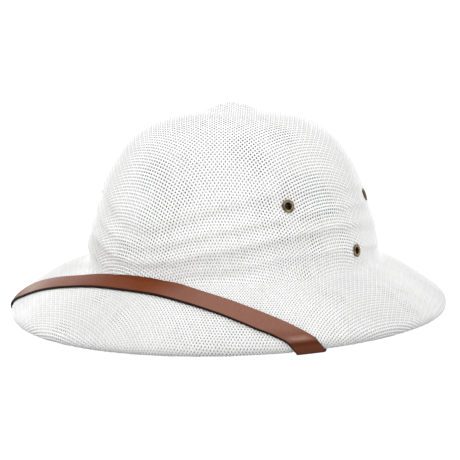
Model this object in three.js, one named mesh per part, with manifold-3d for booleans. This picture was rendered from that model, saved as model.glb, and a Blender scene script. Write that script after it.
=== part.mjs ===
// Pith helmet of woven straw: a domed crown and a sloping brim pressed as one wall, a leather band over the
// front of the brim, and brass vent eyelets in the crown. Millimetres, +Z up, the wearer's front towards -Y.
// The rim rests on z = 0 at the back, and on the band's two wrapped ends at the front.
import * as THREE from "three";
import { mergeVertices } from "three/addons/utils/BufferGeometryUtils.js";
import Module from "manifold-3d";

// Driving sizes of the shell, in millimetres
const RIM_WIDTH = 292; // across the brim, left to right, at the top edge of the hem
const RIM_LENGTH = 330; // along the brim, front to back, at the top edge of the hem
const CROWN_WIDTH = 200; // across the foot of the crown
const CROWN_LENGTH = 227; // along the foot of the crown
const CROWN_RISE = 105; // from the foot of the crown to the top of the dome
const BRIM_FALL = 29.5; // from the foot of the crown down to the top edge of the hem
const FOOT_SETBACK = 3.8; // the crown's foot sits this far behind the middle of the rim
const DOME_SETBACK = 0.6; // and the top of the dome this far
const BUTTON_RISE = 4.6; // the soft raised button at the top of the dome
const BUTTON_RADIUS = 22;
const WALL = 2.2; // two layers of pressed straw cloth
const HEM_HEIGHT = 8.2; // the turned hem that stiffens the rim
const HEM_THICKNESS = 5.2; // the cloth turned over a cord
const HEM_BULGE = 1.6; // how far the hem stands out past its own top edge
const HEM_FOOT_WIDTH = 2.4; // the flat underside of the hem
const FOLD_DEPTH = 1.2; // the pressed folds of the lower crown
const BRIM_BULGE = 4; // the brim's swell before the sides, and its dip behind them

// Driving sizes of the band, in millimetres
const BAND_WIDTH = 16;
const BAND_THICKNESS = 1.5;
const BAND_CLEARANCE = 0.4;
const BAND_TAIL = 10; // how far each end goes up inside the hem
const BAND_CROSSING = 45; // the angle, in degrees, at which the band crosses the hem

// Driving sizes of the eyelets, in millimetres
const EYELET_FLANGE_RADIUS = 4.75;
const EYELET_INNER_FLANGE_RADIUS = 4.3;
const EYELET_FLANGE_THICKNESS = 0.9;
const EYELET_BORE_RADIUS = 2.5;
const EYELET_BARREL_WALL = 0.6;
const EYELET_SEAT_CLEARANCE = 0.5;
const EYELET_HOLE_CLEARANCE = 0.3;
const EYELET_FLAT_RADIUS = 6.5; // the folds are pressed flat within this distance of an eyelet
const EYELET_FADE = 7; // and come back over this distance

// How finely the forms are divided
const SHELL_SIDES = 72;
const EYELET_SIDES = 14;
const BAND_STRIPS = 4;
const MARCH_STEP = 0.4; // the stride, in millimetres, that lays the band over the shell
const NUDGE = 1e-3; // the small step over which a surface's direction is taken
const NORMAL_PATCH = [-0.4, -0.2, 0, 0.2, 0.4]; // the rows, as shares of their spacing, that a normal averages

// Section of the crown: height as a share of CROWN_RISE, reach as a share of the foot's half-width and half-length
const CROWN_SECTION = [
  { height: 0, reach: 1 },
  { height: 0.05, reach: 0.986 },
  { height: 0.12, reach: 0.979 },
  { height: 0.26, reach: 0.946 },
  { height: 0.42, reach: 0.894 },
  { height: 0.58, reach: 0.836 },
  { height: 0.72, reach: 0.757 },
  { height: 0.83, reach: 0.663 },
  { height: 0.91, reach: 0.544 },
  { height: 0.965, reach: 0.394 },
  { height: 0.992, reach: 0.19 },
  { height: 1, reach: 0 },
];
// Section of the brim: run as a share of the way from foot to rim, height as a share of BRIM_FALL
const BRIM_SECTION = [
  { run: 0, height: 1 },
  { run: 0.1, height: 0.915 },
  { run: 0.22, height: 0.82 },
  { run: 0.4, height: 0.69 },
  { run: 0.62, height: 0.49 },
  { run: 0.83, height: 0.235 },
  { run: 1, height: 0 },
];
// Section of the hem: out as a share of HEM_BULGE past the top edge, height as a share of HEM_HEIGHT
const HEM_SECTION = [
  { out: 0.72, height: 0.8 },
  { out: 1, height: 0.55 },
  { out: 0.8, height: 0.28 },
  { out: 0.12, height: 0.09 },
];
const HEM_FOOT_OUT = -0.45; // where the flat underside begins, as a share of HEM_BULGE
const HEM_INNER_HEIGHT = 0.09; // the height of the hem's lower inner edge, as a share of HEM_HEIGHT

// Angles round the crown run from 0 at the front to 180 at the back, the same on both sides, every 30 degrees
const ANGLE_STEP = 30;
// Swell of the brim half-way down its slope, as a share of BRIM_BULGE
const BRIM_SWELL = [0.15, 0.3, 0.45, 0, -0.45, -0.4, -0.3];
// The pressed folds from the top one down: height as a share of CROWN_RISE, strength as a share of FOLD_DEPTH
const FOLDS = [
  { height: [0.3, 0.445, 0.535, 0.525, 0.47, 0.43, 0.4], strength: [0.7, 0.9, 0.7, 0.4, 0.3, 0.3, 0.3] },
  { height: [0.2, 0.305, 0.378, 0.405, 0.367, 0.33, 0.3], strength: [0.6, 1, 1, 0.9, 0.8, 0.7, 0.6] },
  { height: [0.095, 0.188, 0.272, 0.29, 0.215, 0.19, 0.17], strength: [0.5, 0.9, 1, 1, 0.9, 0.8, 0.7] },
  { height: [0.022, 0.064, 0.147, 0.135, 0.068, 0.055, 0.05], strength: [0, 0.6, 1, 1, 0.8, 0.6, 0.5] },
];
const FOLD_STEP = 0.25; // the step lies this share of the way down to the next fold
const FOLD_FADE = 0.45; // the swell fades out this share of the way up to the next fold
const FOLD_STEP_DEPTH = -0.3; // depth of the step, as a share of the fold's own depth
const FOLDS_TOP = 0.72; // the height above which the dome is smooth, as a share of CROWN_RISE

// Rings of the smooth dome above the folds, as shares of the foot's half-width and half-length
const DOME_REACHES = [0.07, 0.13, 0.18, 0.25, 0.36, 0.48, 0.59, 0.68];
const INNER_DOME_REACHES = [0.1, 0.2, 0.36, 0.52, 0.66];
// Rows of the brim between its foot and the hem, as shares of the way
const BRIM_RUNS = [0.1, 0.22, 0.38, 0.55, 0.72, 0.87];
const INNER_BRIM_RUNS = [0.14, 0.34, 0.55, 0.76, 0.93];

// The front of the rim is lifted clear of the table by the band that passes under it
const LIFT_FULL_ANGLE = 72;
const LIFT_END_ANGLE = 128;

// Middle line of the band over the front of the brim: angle from the front, run as a share of the way to the rim
const BAND_LINE = [
  { angle: 0, run: 0.095 },
  { angle: 8, run: 0.115 },
  { angle: 15, run: 0.175 },
  { angle: 24, run: 0.32 },
  { angle: 34, run: 0.515 },
  { angle: 44, run: 0.75 },
  { angle: 53.5, run: 1 },
];
// Stations of the band, as shares of the way from the front to the rim
const BAND_STATIONS = [0, 0.06, 0.12, 0.18, 0.24, 0.3, 0.36, 0.42, 0.48, 0.54, 0.6, 0.66, 0.72, 0.78, 0.84, 0.9, 0.95, 1];
const BAND_SKEW_START = 0.75; // from this share on, its stations turn to lie along the rim
const BAND_WRAP_STEP = 0.5; // stations round the hem, as a share of the spacing of its rows
const BAND_TAIL_STATIONS = 4;

// Eyelets of one side: angle from the front, height as a share of CROWN_RISE
const EYELETS = [
  { name: "front", angle: 60, height: 0.445 },
  { name: "low", angle: 91, height: 0.112 },
  { name: "rear", angle: 116.5, height: 0.42 },
];

// Rounded top of an eyelet's flange: reach as a share of the way from bore to edge, height of its thickness
const EYELET_TOP = [
  { reach: 1, height: 0.45 },
  { reach: 0.6, height: 1 },
  { reach: 0.25, height: 1 },
  { reach: 0, height: 0.3 },
];

const STRAW = { color: 0xf3f2ee, roughness: 0.85, metalness: 0 };
const LEATHER = { color: 0x7a4426, roughness: 0.55, metalness: 0 };
const BRASS = { color: 0x6f5a38, roughness: 0.4, metalness: 0.9 };

const wasm = await Module();
wasm.setup();

const lerp = THREE.MathUtils.lerp;
const radians = THREE.MathUtils.degToRad;
const smooth = (x, low, high) => THREE.MathUtils.smoothstep(x, low, high);

// Angle from the front in degrees, 0 to 180, the same on both sides
function angleFromFront(turn) {
  const full = ((THREE.MathUtils.radToDeg(turn) % 360) + 360) % 360;
  return full > 180 ? 360 - full : full;
}

// Value of a row of numbers spaced every ANGLE_STEP degrees, rounded off smoothly and even at front and back
function roundTheCrown(values, angle) {
  const place = angle / ANGLE_STEP;
  const last = values.length - 1;
  const i = Math.min(Math.floor(place), last - 1);
  const even = (k) => values[k < 0 ? -k : k > last ? 2 * last - k : k];
  const [a, b, c, d] = [even(i - 1), even(i), even(i + 1), even(i + 2)];
  const u = place - i;
  return b + 0.5 * u * (c - a + u * (2 * a - 5 * b + 4 * c - d + u * (3 * (b - c) + d - a)));
}

// Straight look-up of y at x in two rising lists
function lookUp(xs, ys, x) {
  let i = 1;
  while (i < xs.length - 1 && xs[i] < x) i += 1;
  return lerp(ys[i - 1], ys[i], (x - xs[i - 1]) / (xs[i] - xs[i - 1]));
}

// Smooth crown section through the table, mirrored over the top so that the dome closes flat
const crownCurve = new THREE.SplineCurve([
  ...CROWN_SECTION.map((row) => new THREE.Vector2(row.reach, row.height)),
  new THREE.Vector2(-CROWN_SECTION.at(-2).reach, CROWN_SECTION.at(-2).height),
])
  .getPoints(40 * CROWN_SECTION.length)
  .filter((point) => point.x >= 0);
const crownHeights = crownCurve.map((point) => point.y);
const crownReaches = crownCurve.map((point) => point.x);
const reachAt = (height) => lookUp(crownHeights, crownReaches, height);
const heightAt = (reach) => lookUp([...crownReaches].reverse(), [...crownHeights].reverse(), reach);

// Smooth brim section through its table
const brimCurve = new THREE.SplineCurve(BRIM_SECTION.map((row) => new THREE.Vector2(row.run, row.height))).getPoints(
  30 * BRIM_SECTION.length,
);
const brimHeightAt = (run) =>
  lookUp(
    brimCurve.map((point) => point.x),
    brimCurve.map((point) => point.y),
    run,
  );

const FRONT_LIFT = BAND_THICKNESS + BAND_CLEARANCE;
const FOOT_HEIGHT = HEM_HEIGHT + BRIM_FALL;
const frontLift = (turn) => FRONT_LIFT * (1 - smooth(angleFromFront(turn), LIFT_FULL_ANGLE, LIFT_END_ANGLE));

// Smooth crown without its folds
function crownBase(turn, height, reach) {
  const x = 0.5 * CROWN_WIDTH * reach * Math.sin(turn);
  const y = -0.5 * CROWN_LENGTH * reach * Math.cos(turn);
  const fromTop = Math.min(Math.hypot(x, y) / BUTTON_RADIUS, 1);
  const button = BUTTON_RISE * (1 - fromTop ** 2) ** 2;
  return new THREE.Vector3(x, y + lerp(FOOT_SETBACK, DOME_SETBACK, height), FOOT_HEIGHT + CROWN_RISE * height + button);
}

// Top face of the brim at a share of the way from foot to rim
function brimBase(turn, run) {
  const halfWidth = lerp(0.5 * CROWN_WIDTH, 0.5 * RIM_WIDTH, run);
  const halfLength = lerp(0.5 * CROWN_LENGTH, 0.5 * RIM_LENGTH, run);
  const swell = BRIM_BULGE * 4 * run * (1 - run) * roundTheCrown(BRIM_SWELL, angleFromFront(turn));
  return new THREE.Vector3(
    halfWidth * Math.sin(turn),
    FOOT_SETBACK * (1 - run) - halfLength * Math.cos(turn),
    HEM_HEIGHT + BRIM_FALL * brimHeightAt(run) + swell + run * frontLift(turn),
  );
}

// Direction that stands off a surface given by two numbers, pointing out of the hat
function outward(surface, a, b, da, db) {
  const along = surface(a + da, b).sub(surface(a - da, b));
  const across = surface(a, b + db).sub(surface(a, b - db));
  return along.cross(across).normalize();
}
const crownNormal = (turn, height) =>
  outward((a, h) => crownBase(a, h, reachAt(Math.max(h, 0))), turn, height, 0.02, 0.01);
const brimNormal = (turn, run) =>
  outward((a, r) => brimBase(a, 1 - r), turn, 1 - THREE.MathUtils.clamp(run, 0.03, 0.97), 0.02, 0.03);
const domeNormal = (turn, reach) =>
  outward((a, r) => crownBase(a, heightAt(1 - r), 1 - r), turn, 1 - Math.max(reach, 0.03), 0.02, 0.02);

const eyeletSpots = [-1, 1].flatMap((side) =>
  EYELETS.map((eyelet) => {
    const turn = side * radians(eyelet.angle);
    return {
      name: `eyelet_${side < 0 ? "right" : "left"}_${eyelet.name}`,
      centre: crownBase(turn, eyelet.height, reachAt(eyelet.height)),
      normal: crownNormal(turn, eyelet.height),
    };
  }),
);

// One where the folds are free and nought where an eyelet presses them flat
const clearOfEyelets = (point) =>
  Math.min(
    ...eyeletSpots.map((spot) =>
      smooth(spot.centre.distanceTo(point), EYELET_FLAT_RADIUS, EYELET_FLAT_RADIUS + EYELET_FADE),
    ),
  );

// Point of the lower crown, pushed out by a share of the fold's depth and in by the depth below the outer face
function foldedPoint(turn, height, push, inset) {
  const point = crownBase(turn, height, reachAt(height));
  const out = FOLD_DEPTH * push * clearOfEyelets(point) - inset;
  return point.addScaledVector(crownNormal(turn, height), out);
}

// Rows of the folded crown from FOLDS_TOP down to just above the foot: each is a height and a push at an angle
const foldRows = FOLDS.flatMap((fold, k) => {
  const crest = (angle) => roundTheCrown(fold.height, angle);
  const above = k ? (angle) => roundTheCrown(FOLDS[k - 1].height, angle) : () => FOLDS_TOP;
  const below = k < FOLDS.length - 1 ? (angle) => roundTheCrown(FOLDS[k + 1].height, angle) : () => 0;
  const strength = (angle) => Math.max(roundTheCrown(fold.strength, angle), 0);
  return [
    { fade: true, height: (a) => lerp(crest(a), above(a), FOLD_FADE), push: () => 0 },
    { height: crest, push: strength },
    { height: (a) => lerp(crest(a), below(a), FOLD_STEP), push: (a) => FOLD_STEP_DEPTH * strength(a) },
  ];
});
const foldRow = (row, inset) => (turn) => {
  const angle = angleFromFront(turn);
  return foldedPoint(turn, row.height(angle), row.push(angle), inset);
};

// Rows of the hem: distance past its top edge along the rim's outward direction, and height
function hemPoint(turn, out, height) {
  const rim = brimBase(turn, 1);
  const away = new THREE.Vector3(RIM_LENGTH * Math.sin(turn), -RIM_WIDTH * Math.cos(turn), 0).normalize();
  return rim.addScaledVector(away, out).setZ(frontLift(turn) + height);
}

const outerRows = [
  ...DOME_REACHES.map((reach) => (turn) => crownBase(turn, heightAt(reach), reach)),
  (turn) => crownBase(turn, FOLDS_TOP, reachAt(FOLDS_TOP)),
  ...foldRows.map((row) => foldRow(row, 0)),
  (turn) => brimBase(turn, 0),
  ...BRIM_RUNS.map((run) => (turn) => brimBase(turn, run)),
  (turn) => brimBase(turn, 1),
  ...HEM_SECTION.map((row) => (turn) => hemPoint(turn, HEM_BULGE * row.out, HEM_HEIGHT * row.height)),
  (turn) => hemPoint(turn, HEM_BULGE * HEM_FOOT_OUT, 0),
  (turn) => hemPoint(turn, HEM_BULGE * HEM_FOOT_OUT - HEM_FOOT_WIDTH, 0),
];
const footNormal = (turn) => crownNormal(turn, 0).add(brimNormal(turn, 0)).normalize();
const innerRows = [
  (turn) => hemPoint(turn, HEM_BULGE - HEM_THICKNESS, HEM_HEIGHT * HEM_INNER_HEIGHT),
  ...INNER_BRIM_RUNS.toReversed().map(
    (run) => (turn) => brimBase(turn, run).addScaledVector(brimNormal(turn, run), -WALL),
  ),
  (turn) => brimBase(turn, 0).addScaledVector(footNormal(turn), -WALL),
  ...foldRows
    .filter((row) => !row.fade)
    .toReversed()
    .map((row) => foldRow(row, WALL)),
  (turn) => crownBase(turn, FOLDS_TOP, reachAt(FOLDS_TOP)).addScaledVector(crownNormal(turn, FOLDS_TOP), -WALL),
  ...INNER_DOME_REACHES.toReversed().map(
    (reach) => (turn) =>
      crownBase(turn, heightAt(reach), reach).addScaledVector(domeNormal(turn, reach), -WALL),
  ),
];

// Closed shell between an outer apex, rings of points from the top to the rim and back inside, and an inner apex
function shellGeometry() {
  const rows = [...outerRows, ...innerRows];
  const apex = crownBase(0, 1, 0);
  const innerApex = apex.clone().setZ(apex.z - WALL);
  const positions = [apex.x, apex.y, apex.z];
  rows.forEach((row) => {
    for (let i = 0; i < SHELL_SIDES; i += 1) {
      positions.push(...row((2 * Math.PI * i) / SHELL_SIDES).toArray());
    }
  });
  positions.push(innerApex.x, innerApex.y, innerApex.z);
  const vertex = (ring, i) => 1 + ring * SHELL_SIDES + (i % SHELL_SIDES);
  const bottom = 1 + rows.length * SHELL_SIDES;
  const index = [];
  for (let i = 0; i < SHELL_SIDES; i += 1) {
    index.push(0, vertex(0, i), vertex(0, i + 1));
    for (let ring = 0; ring < rows.length - 1; ring += 1) {
      const [a, b, c, d] = [vertex(ring, i), vertex(ring, i + 1), vertex(ring + 1, i + 1), vertex(ring + 1, i)];
      index.push(a, d, b, b, d, c);
    }
    index.push(bottom, vertex(rows.length - 1, i + 1), vertex(rows.length - 1, i));
  }
  return geometryOf(positions, index);
}

function geometryOf(positions, index) {
  const geometry = new THREE.BufferGeometry();
  geometry.setAttribute("position", new THREE.BufferAttribute(new Float32Array(positions), 3));
  geometry.setIndex(index);
  return geometry;
}

function solidOf(geometry) {
  const bare = new THREE.BufferGeometry().setAttribute("position", geometry.getAttribute("position"));
  bare.setIndex(geometry.index);
  const merged = mergeVertices(bare, 1e-4);
  return new wasm.Manifold(
    new wasm.Mesh({
      numProp: 3,
      vertProperties: new Float32Array(merged.attributes.position.array),
      triVerts: new Uint32Array(merged.index.array),
    }),
  );
}

function geometryFromSolid(solid) {
  const mesh = solid.getMesh();
  const positions = [];
  for (let i = 0; i < mesh.numVert; i += 1) {
    positions.push(...mesh.vertProperties.subarray(i * mesh.numProp, i * mesh.numProp + 3));
  }
  return geometryOf(positions, Array.from(mesh.triVerts));
}

// Turn from the lathe's own axis, +Y, to an eyelet's outward direction, placed at its centre
const eyeletPlace = (spot) =>
  new THREE.Matrix4().compose(
    spot.centre,
    new THREE.Quaternion().setFromUnitVectors(new THREE.Vector3(0, 1, 0), spot.normal),
    new THREE.Vector3(1, 1, 1),
  );

// Ring with a rounded flange outside the wall, a barrel through it and a flange inside, all about +Y
function eyeletGeometry() {
  const bore = EYELET_BORE_RADIUS;
  const barrel = bore + EYELET_BARREL_WALL;
  const seat = EYELET_SEAT_CLEARANCE;
  const top = seat + EYELET_FLANGE_THICKNESS;
  const under = -WALL - seat;
  const low = under - EYELET_FLANGE_THICKNESS;
  const profile = [
    [bore, low],
    [EYELET_INNER_FLANGE_RADIUS, low],
    [EYELET_INNER_FLANGE_RADIUS, under],
    [barrel, under],
    [barrel, seat],
    [EYELET_FLANGE_RADIUS, seat],
    ...EYELET_TOP.map((row) => [lerp(bore, EYELET_FLANGE_RADIUS, row.reach), lerp(seat, top, row.height)]),
    [bore, low],
  ].map(([radius, height]) => new THREE.Vector2(radius, height));
  return new THREE.LatheGeometry(profile, EYELET_SIDES);
}

function shellWithHoles() {
  const radius = EYELET_BORE_RADIUS + EYELET_BARREL_WALL + EYELET_HOLE_CLEARANCE;
  const depth = 2 * (WALL + EYELET_FLANGE_RADIUS);
  return eyeletSpots.reduce((shell, spot) => {
    const hole = new THREE.CylinderGeometry(radius, radius, depth, EYELET_SIDES).applyMatrix4(eyeletPlace(spot));
    return shell.subtract(solidOf(hole));
  }, solidOf(shellGeometry()));
}

// The shell's outside and the inside of its brim as one surface: a turn, and a place counted along the rows
const bandRows = [...outerRows, ...innerRows.slice(0, INNER_BRIM_RUNS.length + 1)];
const FOOT_PLACE = DOME_REACHES.length + 1 + foldRows.length;
const RIM_PLACE = FOOT_PLACE + BRIM_RUNS.length + 1;
const HEM_END_PLACE = outerRows.length;
function onShell(turn, place) {
  const i = THREE.MathUtils.clamp(Math.floor(place), 0, bandRows.length - 2);
  return bandRows[i](turn).lerp(bandRows[i + 1](turn), place - i);
}
function shellTangents(turn, place) {
  const around = onShell(turn + NUDGE, place).sub(onShell(turn - NUDGE, place));
  const down = onShell(turn, place + NUDGE).sub(onShell(turn, place - NUDGE));
  return { around: around.divideScalar(2 * NUDGE), down: down.divideScalar(2 * NUDGE) };
}
// Outward direction, averaged over a small patch so that it turns smoothly past the edge of a facet
function shellNormal(turn, place) {
  const sum = new THREE.Vector3();
  for (const offset of NORMAL_PATCH) {
    const { around, down } = shellTangents(turn, place + offset);
    sum.add(down.cross(around).normalize());
  }
  return sum.normalize();
}

// Walks over the shell from a spot in a direction, keeping straight, for a length
function march(start, direction, length) {
  const at = { turn: start.turn, place: start.place };
  const heading = direction.clone();
  const strides = Math.max(Math.ceil(length / MARCH_STEP), 1);
  for (let k = 0; k < strides; k += 1) {
    const { around, down } = shellTangents(at.turn, at.place);
    const before = onShell(at.turn, at.place);
    const stride = heading.clone().multiplyScalar(length / strides);
    const [aa, ad, dd] = [around.dot(around), around.dot(down), down.dot(down)];
    const [sa, sd] = [stride.dot(around), stride.dot(down)];
    const det = aa * dd - ad * ad;
    at.turn += (sa * dd - sd * ad) / det;
    at.place += (sd * aa - sa * ad) / det;
    const moved = onShell(at.turn, at.place).sub(before);
    const normal = shellNormal(at.turn, at.place);
    heading.copy(moved.addScaledVector(normal, -moved.dot(normal)).normalize());
  }
  return at;
}

// Middle line of one half of the band: over the brim by its table, then across the hem and up inside it
function bandHalfLine() {
  const line = new THREE.CatmullRomCurve3([
    new THREE.Vector3(-BAND_LINE[1].angle, BAND_LINE[1].run, 0),
    ...BAND_LINE.map((row) => new THREE.Vector3(row.angle, row.run, 0)),
  ]);
  const start = 1 / BAND_LINE.length;
  const runs = [0, ...BRIM_RUNS, 1];
  const stations = BAND_STATIONS.map((share) => {
    const point = line.getPoint(lerp(start, 1, share));
    const place = FOOT_PLACE + lookUp(runs, [...runs.keys()], point.y);
    return { turn: radians(point.x), place, skew: smooth(share, BAND_SKEW_START, 1) };
  });
  const at = { ...stations.at(-1) };
  const step = (to) => {
    const before = onShell(at.turn, at.place);
    const length = onShell(at.turn, to).distanceTo(before);
    const { around } = shellTangents(at.turn, at.place);
    at.turn += length / Math.tan(radians(BAND_CROSSING)) / around.length();
    at.place = to;
    stations.push({ ...at });
  };
  for (let place = RIM_PLACE + BAND_WRAP_STEP; place <= HEM_END_PLACE; place += BAND_WRAP_STEP) step(place);
  const inside = onShell(at.turn, HEM_END_PLACE + 1).distanceTo(onShell(at.turn, HEM_END_PLACE));
  const climb = (BAND_TAIL * Math.sin(radians(BAND_CROSSING))) / inside;
  for (let k = 1; k <= BAND_TAIL_STATIONS; k += 1) step(HEM_END_PLACE + (climb * k) / BAND_TAIL_STATIONS);
  return stations;
}

// One station of the band: points across it on the shell, square to it on the brim and along the rows at the hem
function bandSection(spot, along) {
  const normal = shellNormal(spot.turn, spot.place);
  const square = normal.clone().cross(along).normalize();
  const { around } = shellTangents(spot.turn, spot.place);
  const rowWay = around.clone().normalize().multiplyScalar(Math.sign(around.dot(square)));
  const side = square.clone().lerp(rowWay, spot.skew).normalize();
  const reach = BAND_WIDTH / side.clone().cross(along.clone().normalize()).length();
  return [...Array(BAND_STRIPS + 1).keys()].map((j) => {
    const offset = reach * (j / BAND_STRIPS - 0.5);
    const turnStep = (offset * Math.sign(around.dot(square))) / around.length();
    const at =
      spot.skew >= 1
        ? { turn: spot.turn + turnStep, place: spot.place }
        : march(spot, side.clone().multiplyScalar(Math.sign(offset) || 1), Math.abs(offset));
    return { point: onShell(at.turn, at.place), normal: shellNormal(at.turn, at.place) };
  });
}

// Closed strip of leather laid on the shell: stations along it, strips across it, a near face and a far face
function bandGeometry() {
  const half = bandHalfLine();
  const line = [...half.slice(1).toReversed().map((spot) => ({ ...spot, turn: -spot.turn })), ...half];
  const points = line.map((spot) => onShell(spot.turn, spot.place));
  const sections = line.map((spot, k) => {
    const ahead = points[Math.min(k + 1, line.length - 1)].clone();
    return bandSection(spot, ahead.sub(points[Math.max(k - 1, 0)]));
  });
  const count = BAND_STRIPS + 1;
  const positions = sections.flatMap((section) =>
    [BAND_CLEARANCE, BAND_CLEARANCE + BAND_THICKNESS].flatMap((height) =>
      section.flatMap(({ point, normal }) => point.clone().addScaledVector(normal, height).toArray()),
    ),
  );
  const ring = [
    ...Array(count).keys(),
    ...[...Array(count).keys()].reverse().map((j) => j + count),
  ];
  const index = [];
  for (let k = 0; k < sections.length - 1; k += 1) {
    const [near, far] = [2 * count * k, 2 * count * (k + 1)];
    ring.forEach((a, n) => {
      const b = ring[(n + 1) % ring.length];
      index.push(near + a, near + b, far + b, near + a, far + b, far + a);
    });
  }
  const last = 2 * count * (sections.length - 1);
  for (let j = 0; j < BAND_STRIPS; j += 1) {
    index.push(j, j + count, j + 1, j + 1, j + count, j + count + 1);
    index.push(last + j, last + j + 1, last + j + count, last + j + 1, last + j + count + 1, last + j + count);
  }
  return geometryOf(positions, index);
}

const helmet = new THREE.Group();
helmet.name = "pith_helmet";
function add(name, geometry, finish) {
  const mesh = new THREE.Mesh(geometry, new THREE.MeshStandardMaterial(finish));
  mesh.name = name;
  helmet.add(mesh);
}

add("helmet_shell", geometryFromSolid(shellWithHoles()), STRAW);
add("front_band", bandGeometry(), LEATHER);
eyeletSpots.forEach((spot) => add(spot.name, eyeletGeometry().applyMatrix4(eyeletPlace(spot)), BRASS));

export default helmet;
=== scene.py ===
"""Sun helmet of woven straw: two layers of open cloth, a leather band over the brim and six brass eyelets.

The helmet's outer face is worked out in millimetres from the same sizes as its solids. A net of crossings is
relaxed over it as wet cloth is pressed on a block, and each strand is drawn through the net over and under.
"""

import logging
import math
from dataclasses import dataclass, field
from enum import Enum
from typing import Iterable, Sequence

import bpy
import numpy as np
from mathutils import Matrix, Vector

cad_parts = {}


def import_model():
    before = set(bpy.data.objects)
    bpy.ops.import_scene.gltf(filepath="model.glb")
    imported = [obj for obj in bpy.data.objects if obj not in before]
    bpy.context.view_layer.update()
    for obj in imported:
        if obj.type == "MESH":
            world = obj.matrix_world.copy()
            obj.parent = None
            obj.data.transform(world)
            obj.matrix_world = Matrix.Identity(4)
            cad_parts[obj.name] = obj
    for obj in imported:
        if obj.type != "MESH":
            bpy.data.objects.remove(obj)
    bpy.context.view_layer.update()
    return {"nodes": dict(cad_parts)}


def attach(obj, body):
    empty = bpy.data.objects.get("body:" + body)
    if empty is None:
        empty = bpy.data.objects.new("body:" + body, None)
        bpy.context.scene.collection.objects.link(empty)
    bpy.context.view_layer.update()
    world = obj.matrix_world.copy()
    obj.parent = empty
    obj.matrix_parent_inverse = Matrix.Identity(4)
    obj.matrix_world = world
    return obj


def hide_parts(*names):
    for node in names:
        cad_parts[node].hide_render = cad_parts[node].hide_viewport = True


logging.basicConfig(level=logging.INFO, format="%(message)s")
log = logging.getLogger("sun_helmet")

MM = 0.001
BODY = "root"
FULL_TURN = 2.0 * math.pi
ANGLE_STEP = 30.0  # degrees between the numbers of a row round the crown
NEIGHBOURS = (-1, 0, 1, 2)  # the rows that a smooth curve reads


class Slot(Enum):
    """Material slots."""

    STRAW = "straw"
    LEATHER = "leather"
    BRASS = "brass"


class Strand(Enum):
    """The two families of strands in the cloth."""

    WARP = 0
    WEFT = 1


class Zone(Enum):
    """The two parts of the cloth, kept as pieces of their own."""

    CROWN = "crown"
    BRIM = "brim"


class FoldRow(Enum):
    """The rows of points that draw one pressed fold, from its top down."""

    FADE = "fade"
    CREST = "crest"
    STEP = "step"


def angle_from_front(turn: np.ndarray) -> np.ndarray:
    """Give the angle from the front in degrees, 0 to 180, the same on both sides.

    Args:
        turn: Turns round the helmet, in radians, nought at the front.

    Returns:
        The angles, in degrees.
    """
    full = np.degrees(turn) % 360.0
    return np.where(full > 180.0, 360.0 - full, full)


def smooth_between(four: Sequence, share: np.ndarray) -> np.ndarray:
    """Pass smoothly from the second of four even values to the third.

    Args:
        four: The four values.
        share: Shares of the way.

    Returns:
        The value at each share.
    """
    a, b, c, d = four
    bend = 2 * a - 5 * b + 4 * c - d + share * (3 * (b - c) + d - a)
    return b + 0.5 * share * (c - a + share * bend)


def round_the_crown(values: Sequence[float], angle: np.ndarray) -> np.ndarray:
    """Read a row of numbers that stand every 30 degrees, smoothly and even at front and back.

    Args:
        values: The numbers from the front to the back.
        angle: Angles from the front, in degrees.

    Returns:
        The smooth value at each angle.
    """
    row = np.asarray(values, dtype=float)
    last = len(row) - 1
    place = angle / ANGLE_STEP
    i = np.minimum(np.floor(place).astype(int), last - 1)

    def even(k: np.ndarray) -> np.ndarray:
        """Read the row past its ends as if it were mirrored there."""
        k = np.abs(k)
        return row[np.where(k > last, 2 * last - k, k)]

    return smooth_between([even(i + k) for k in NEIGHBOURS], place - i)


def spline_rows(table: np.ndarray, count: int) -> np.ndarray:
    """Draw a smooth curve through the rows of a table.

    Args:
        table: One point on each row.
        count: The number of steps along the whole curve.

    Returns:
        The points of the curve.
    """
    place = np.linspace(0.0, len(table) - 1, count + 1)
    i = np.minimum(place.astype(int), len(table) - 2)
    four = [table[np.clip(i + k, 0, len(table) - 1)] for k in NEIGHBOURS]
    return smooth_between(four, (place - i)[:, None])


def smoothstep(x: np.ndarray, low: float, high: float) -> np.ndarray:
    """Rise smoothly from nought at low to one at high."""
    share = np.clip((x - low) / (high - low), 0.0, 1.0)
    return share * share * (3.0 - 2.0 * share)


def unit(rows: np.ndarray) -> np.ndarray:
    """Scale each vector to length one."""
    return rows / np.maximum(np.linalg.norm(rows, axis=-1, keepdims=True), 1e-12)


def split_move(move: np.ndarray, around: np.ndarray, down: np.ndarray) -> tuple:
    """Split moves over the wall into shares of two directions that need not be square to each other.

    Args:
        move: The moves.
        around: The direction round the helmet at each.
        down: The direction down the wall at each.

    Returns:
        The share of each move in the one direction and in the other.
    """
    aa, ad, dd = (around**2).sum(-1), (around * down).sum(-1), (down**2).sum(-1)
    ma, md = (move * around).sum(-1), (move * down).sum(-1)
    det = np.maximum(aa * dd - ad * ad, 1e-6)
    return (ma * dd - md * ad) / det, (md * aa - ma * ad) / det


def grid_faces(shape: tuple, joined: tuple, start: int = 0, flip: bool = False) -> list:
    """List the four-sided faces of a grid of points.

    Args:
        shape: The numbers of rows and columns.
        joined: Whether the last row meets the first, and whether the last column does.
        start: The number of the first point.
        flip: Whether the faces look the other way.

    Returns:
        The faces, as rings of points.
    """
    rows, columns = shape
    faces = []
    for i in range(rows if joined[0] else rows - 1):
        here, there = start + i * columns, start + (i + 1) % rows * columns
        for j in range(columns if joined[1] else columns - 1):
            n = (j + 1) % columns
            face = (here + j, here + n, there + n, there + j)
            faces.append((face[0], face[3], face[2], face[1]) if flip else face)
    return faces


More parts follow.
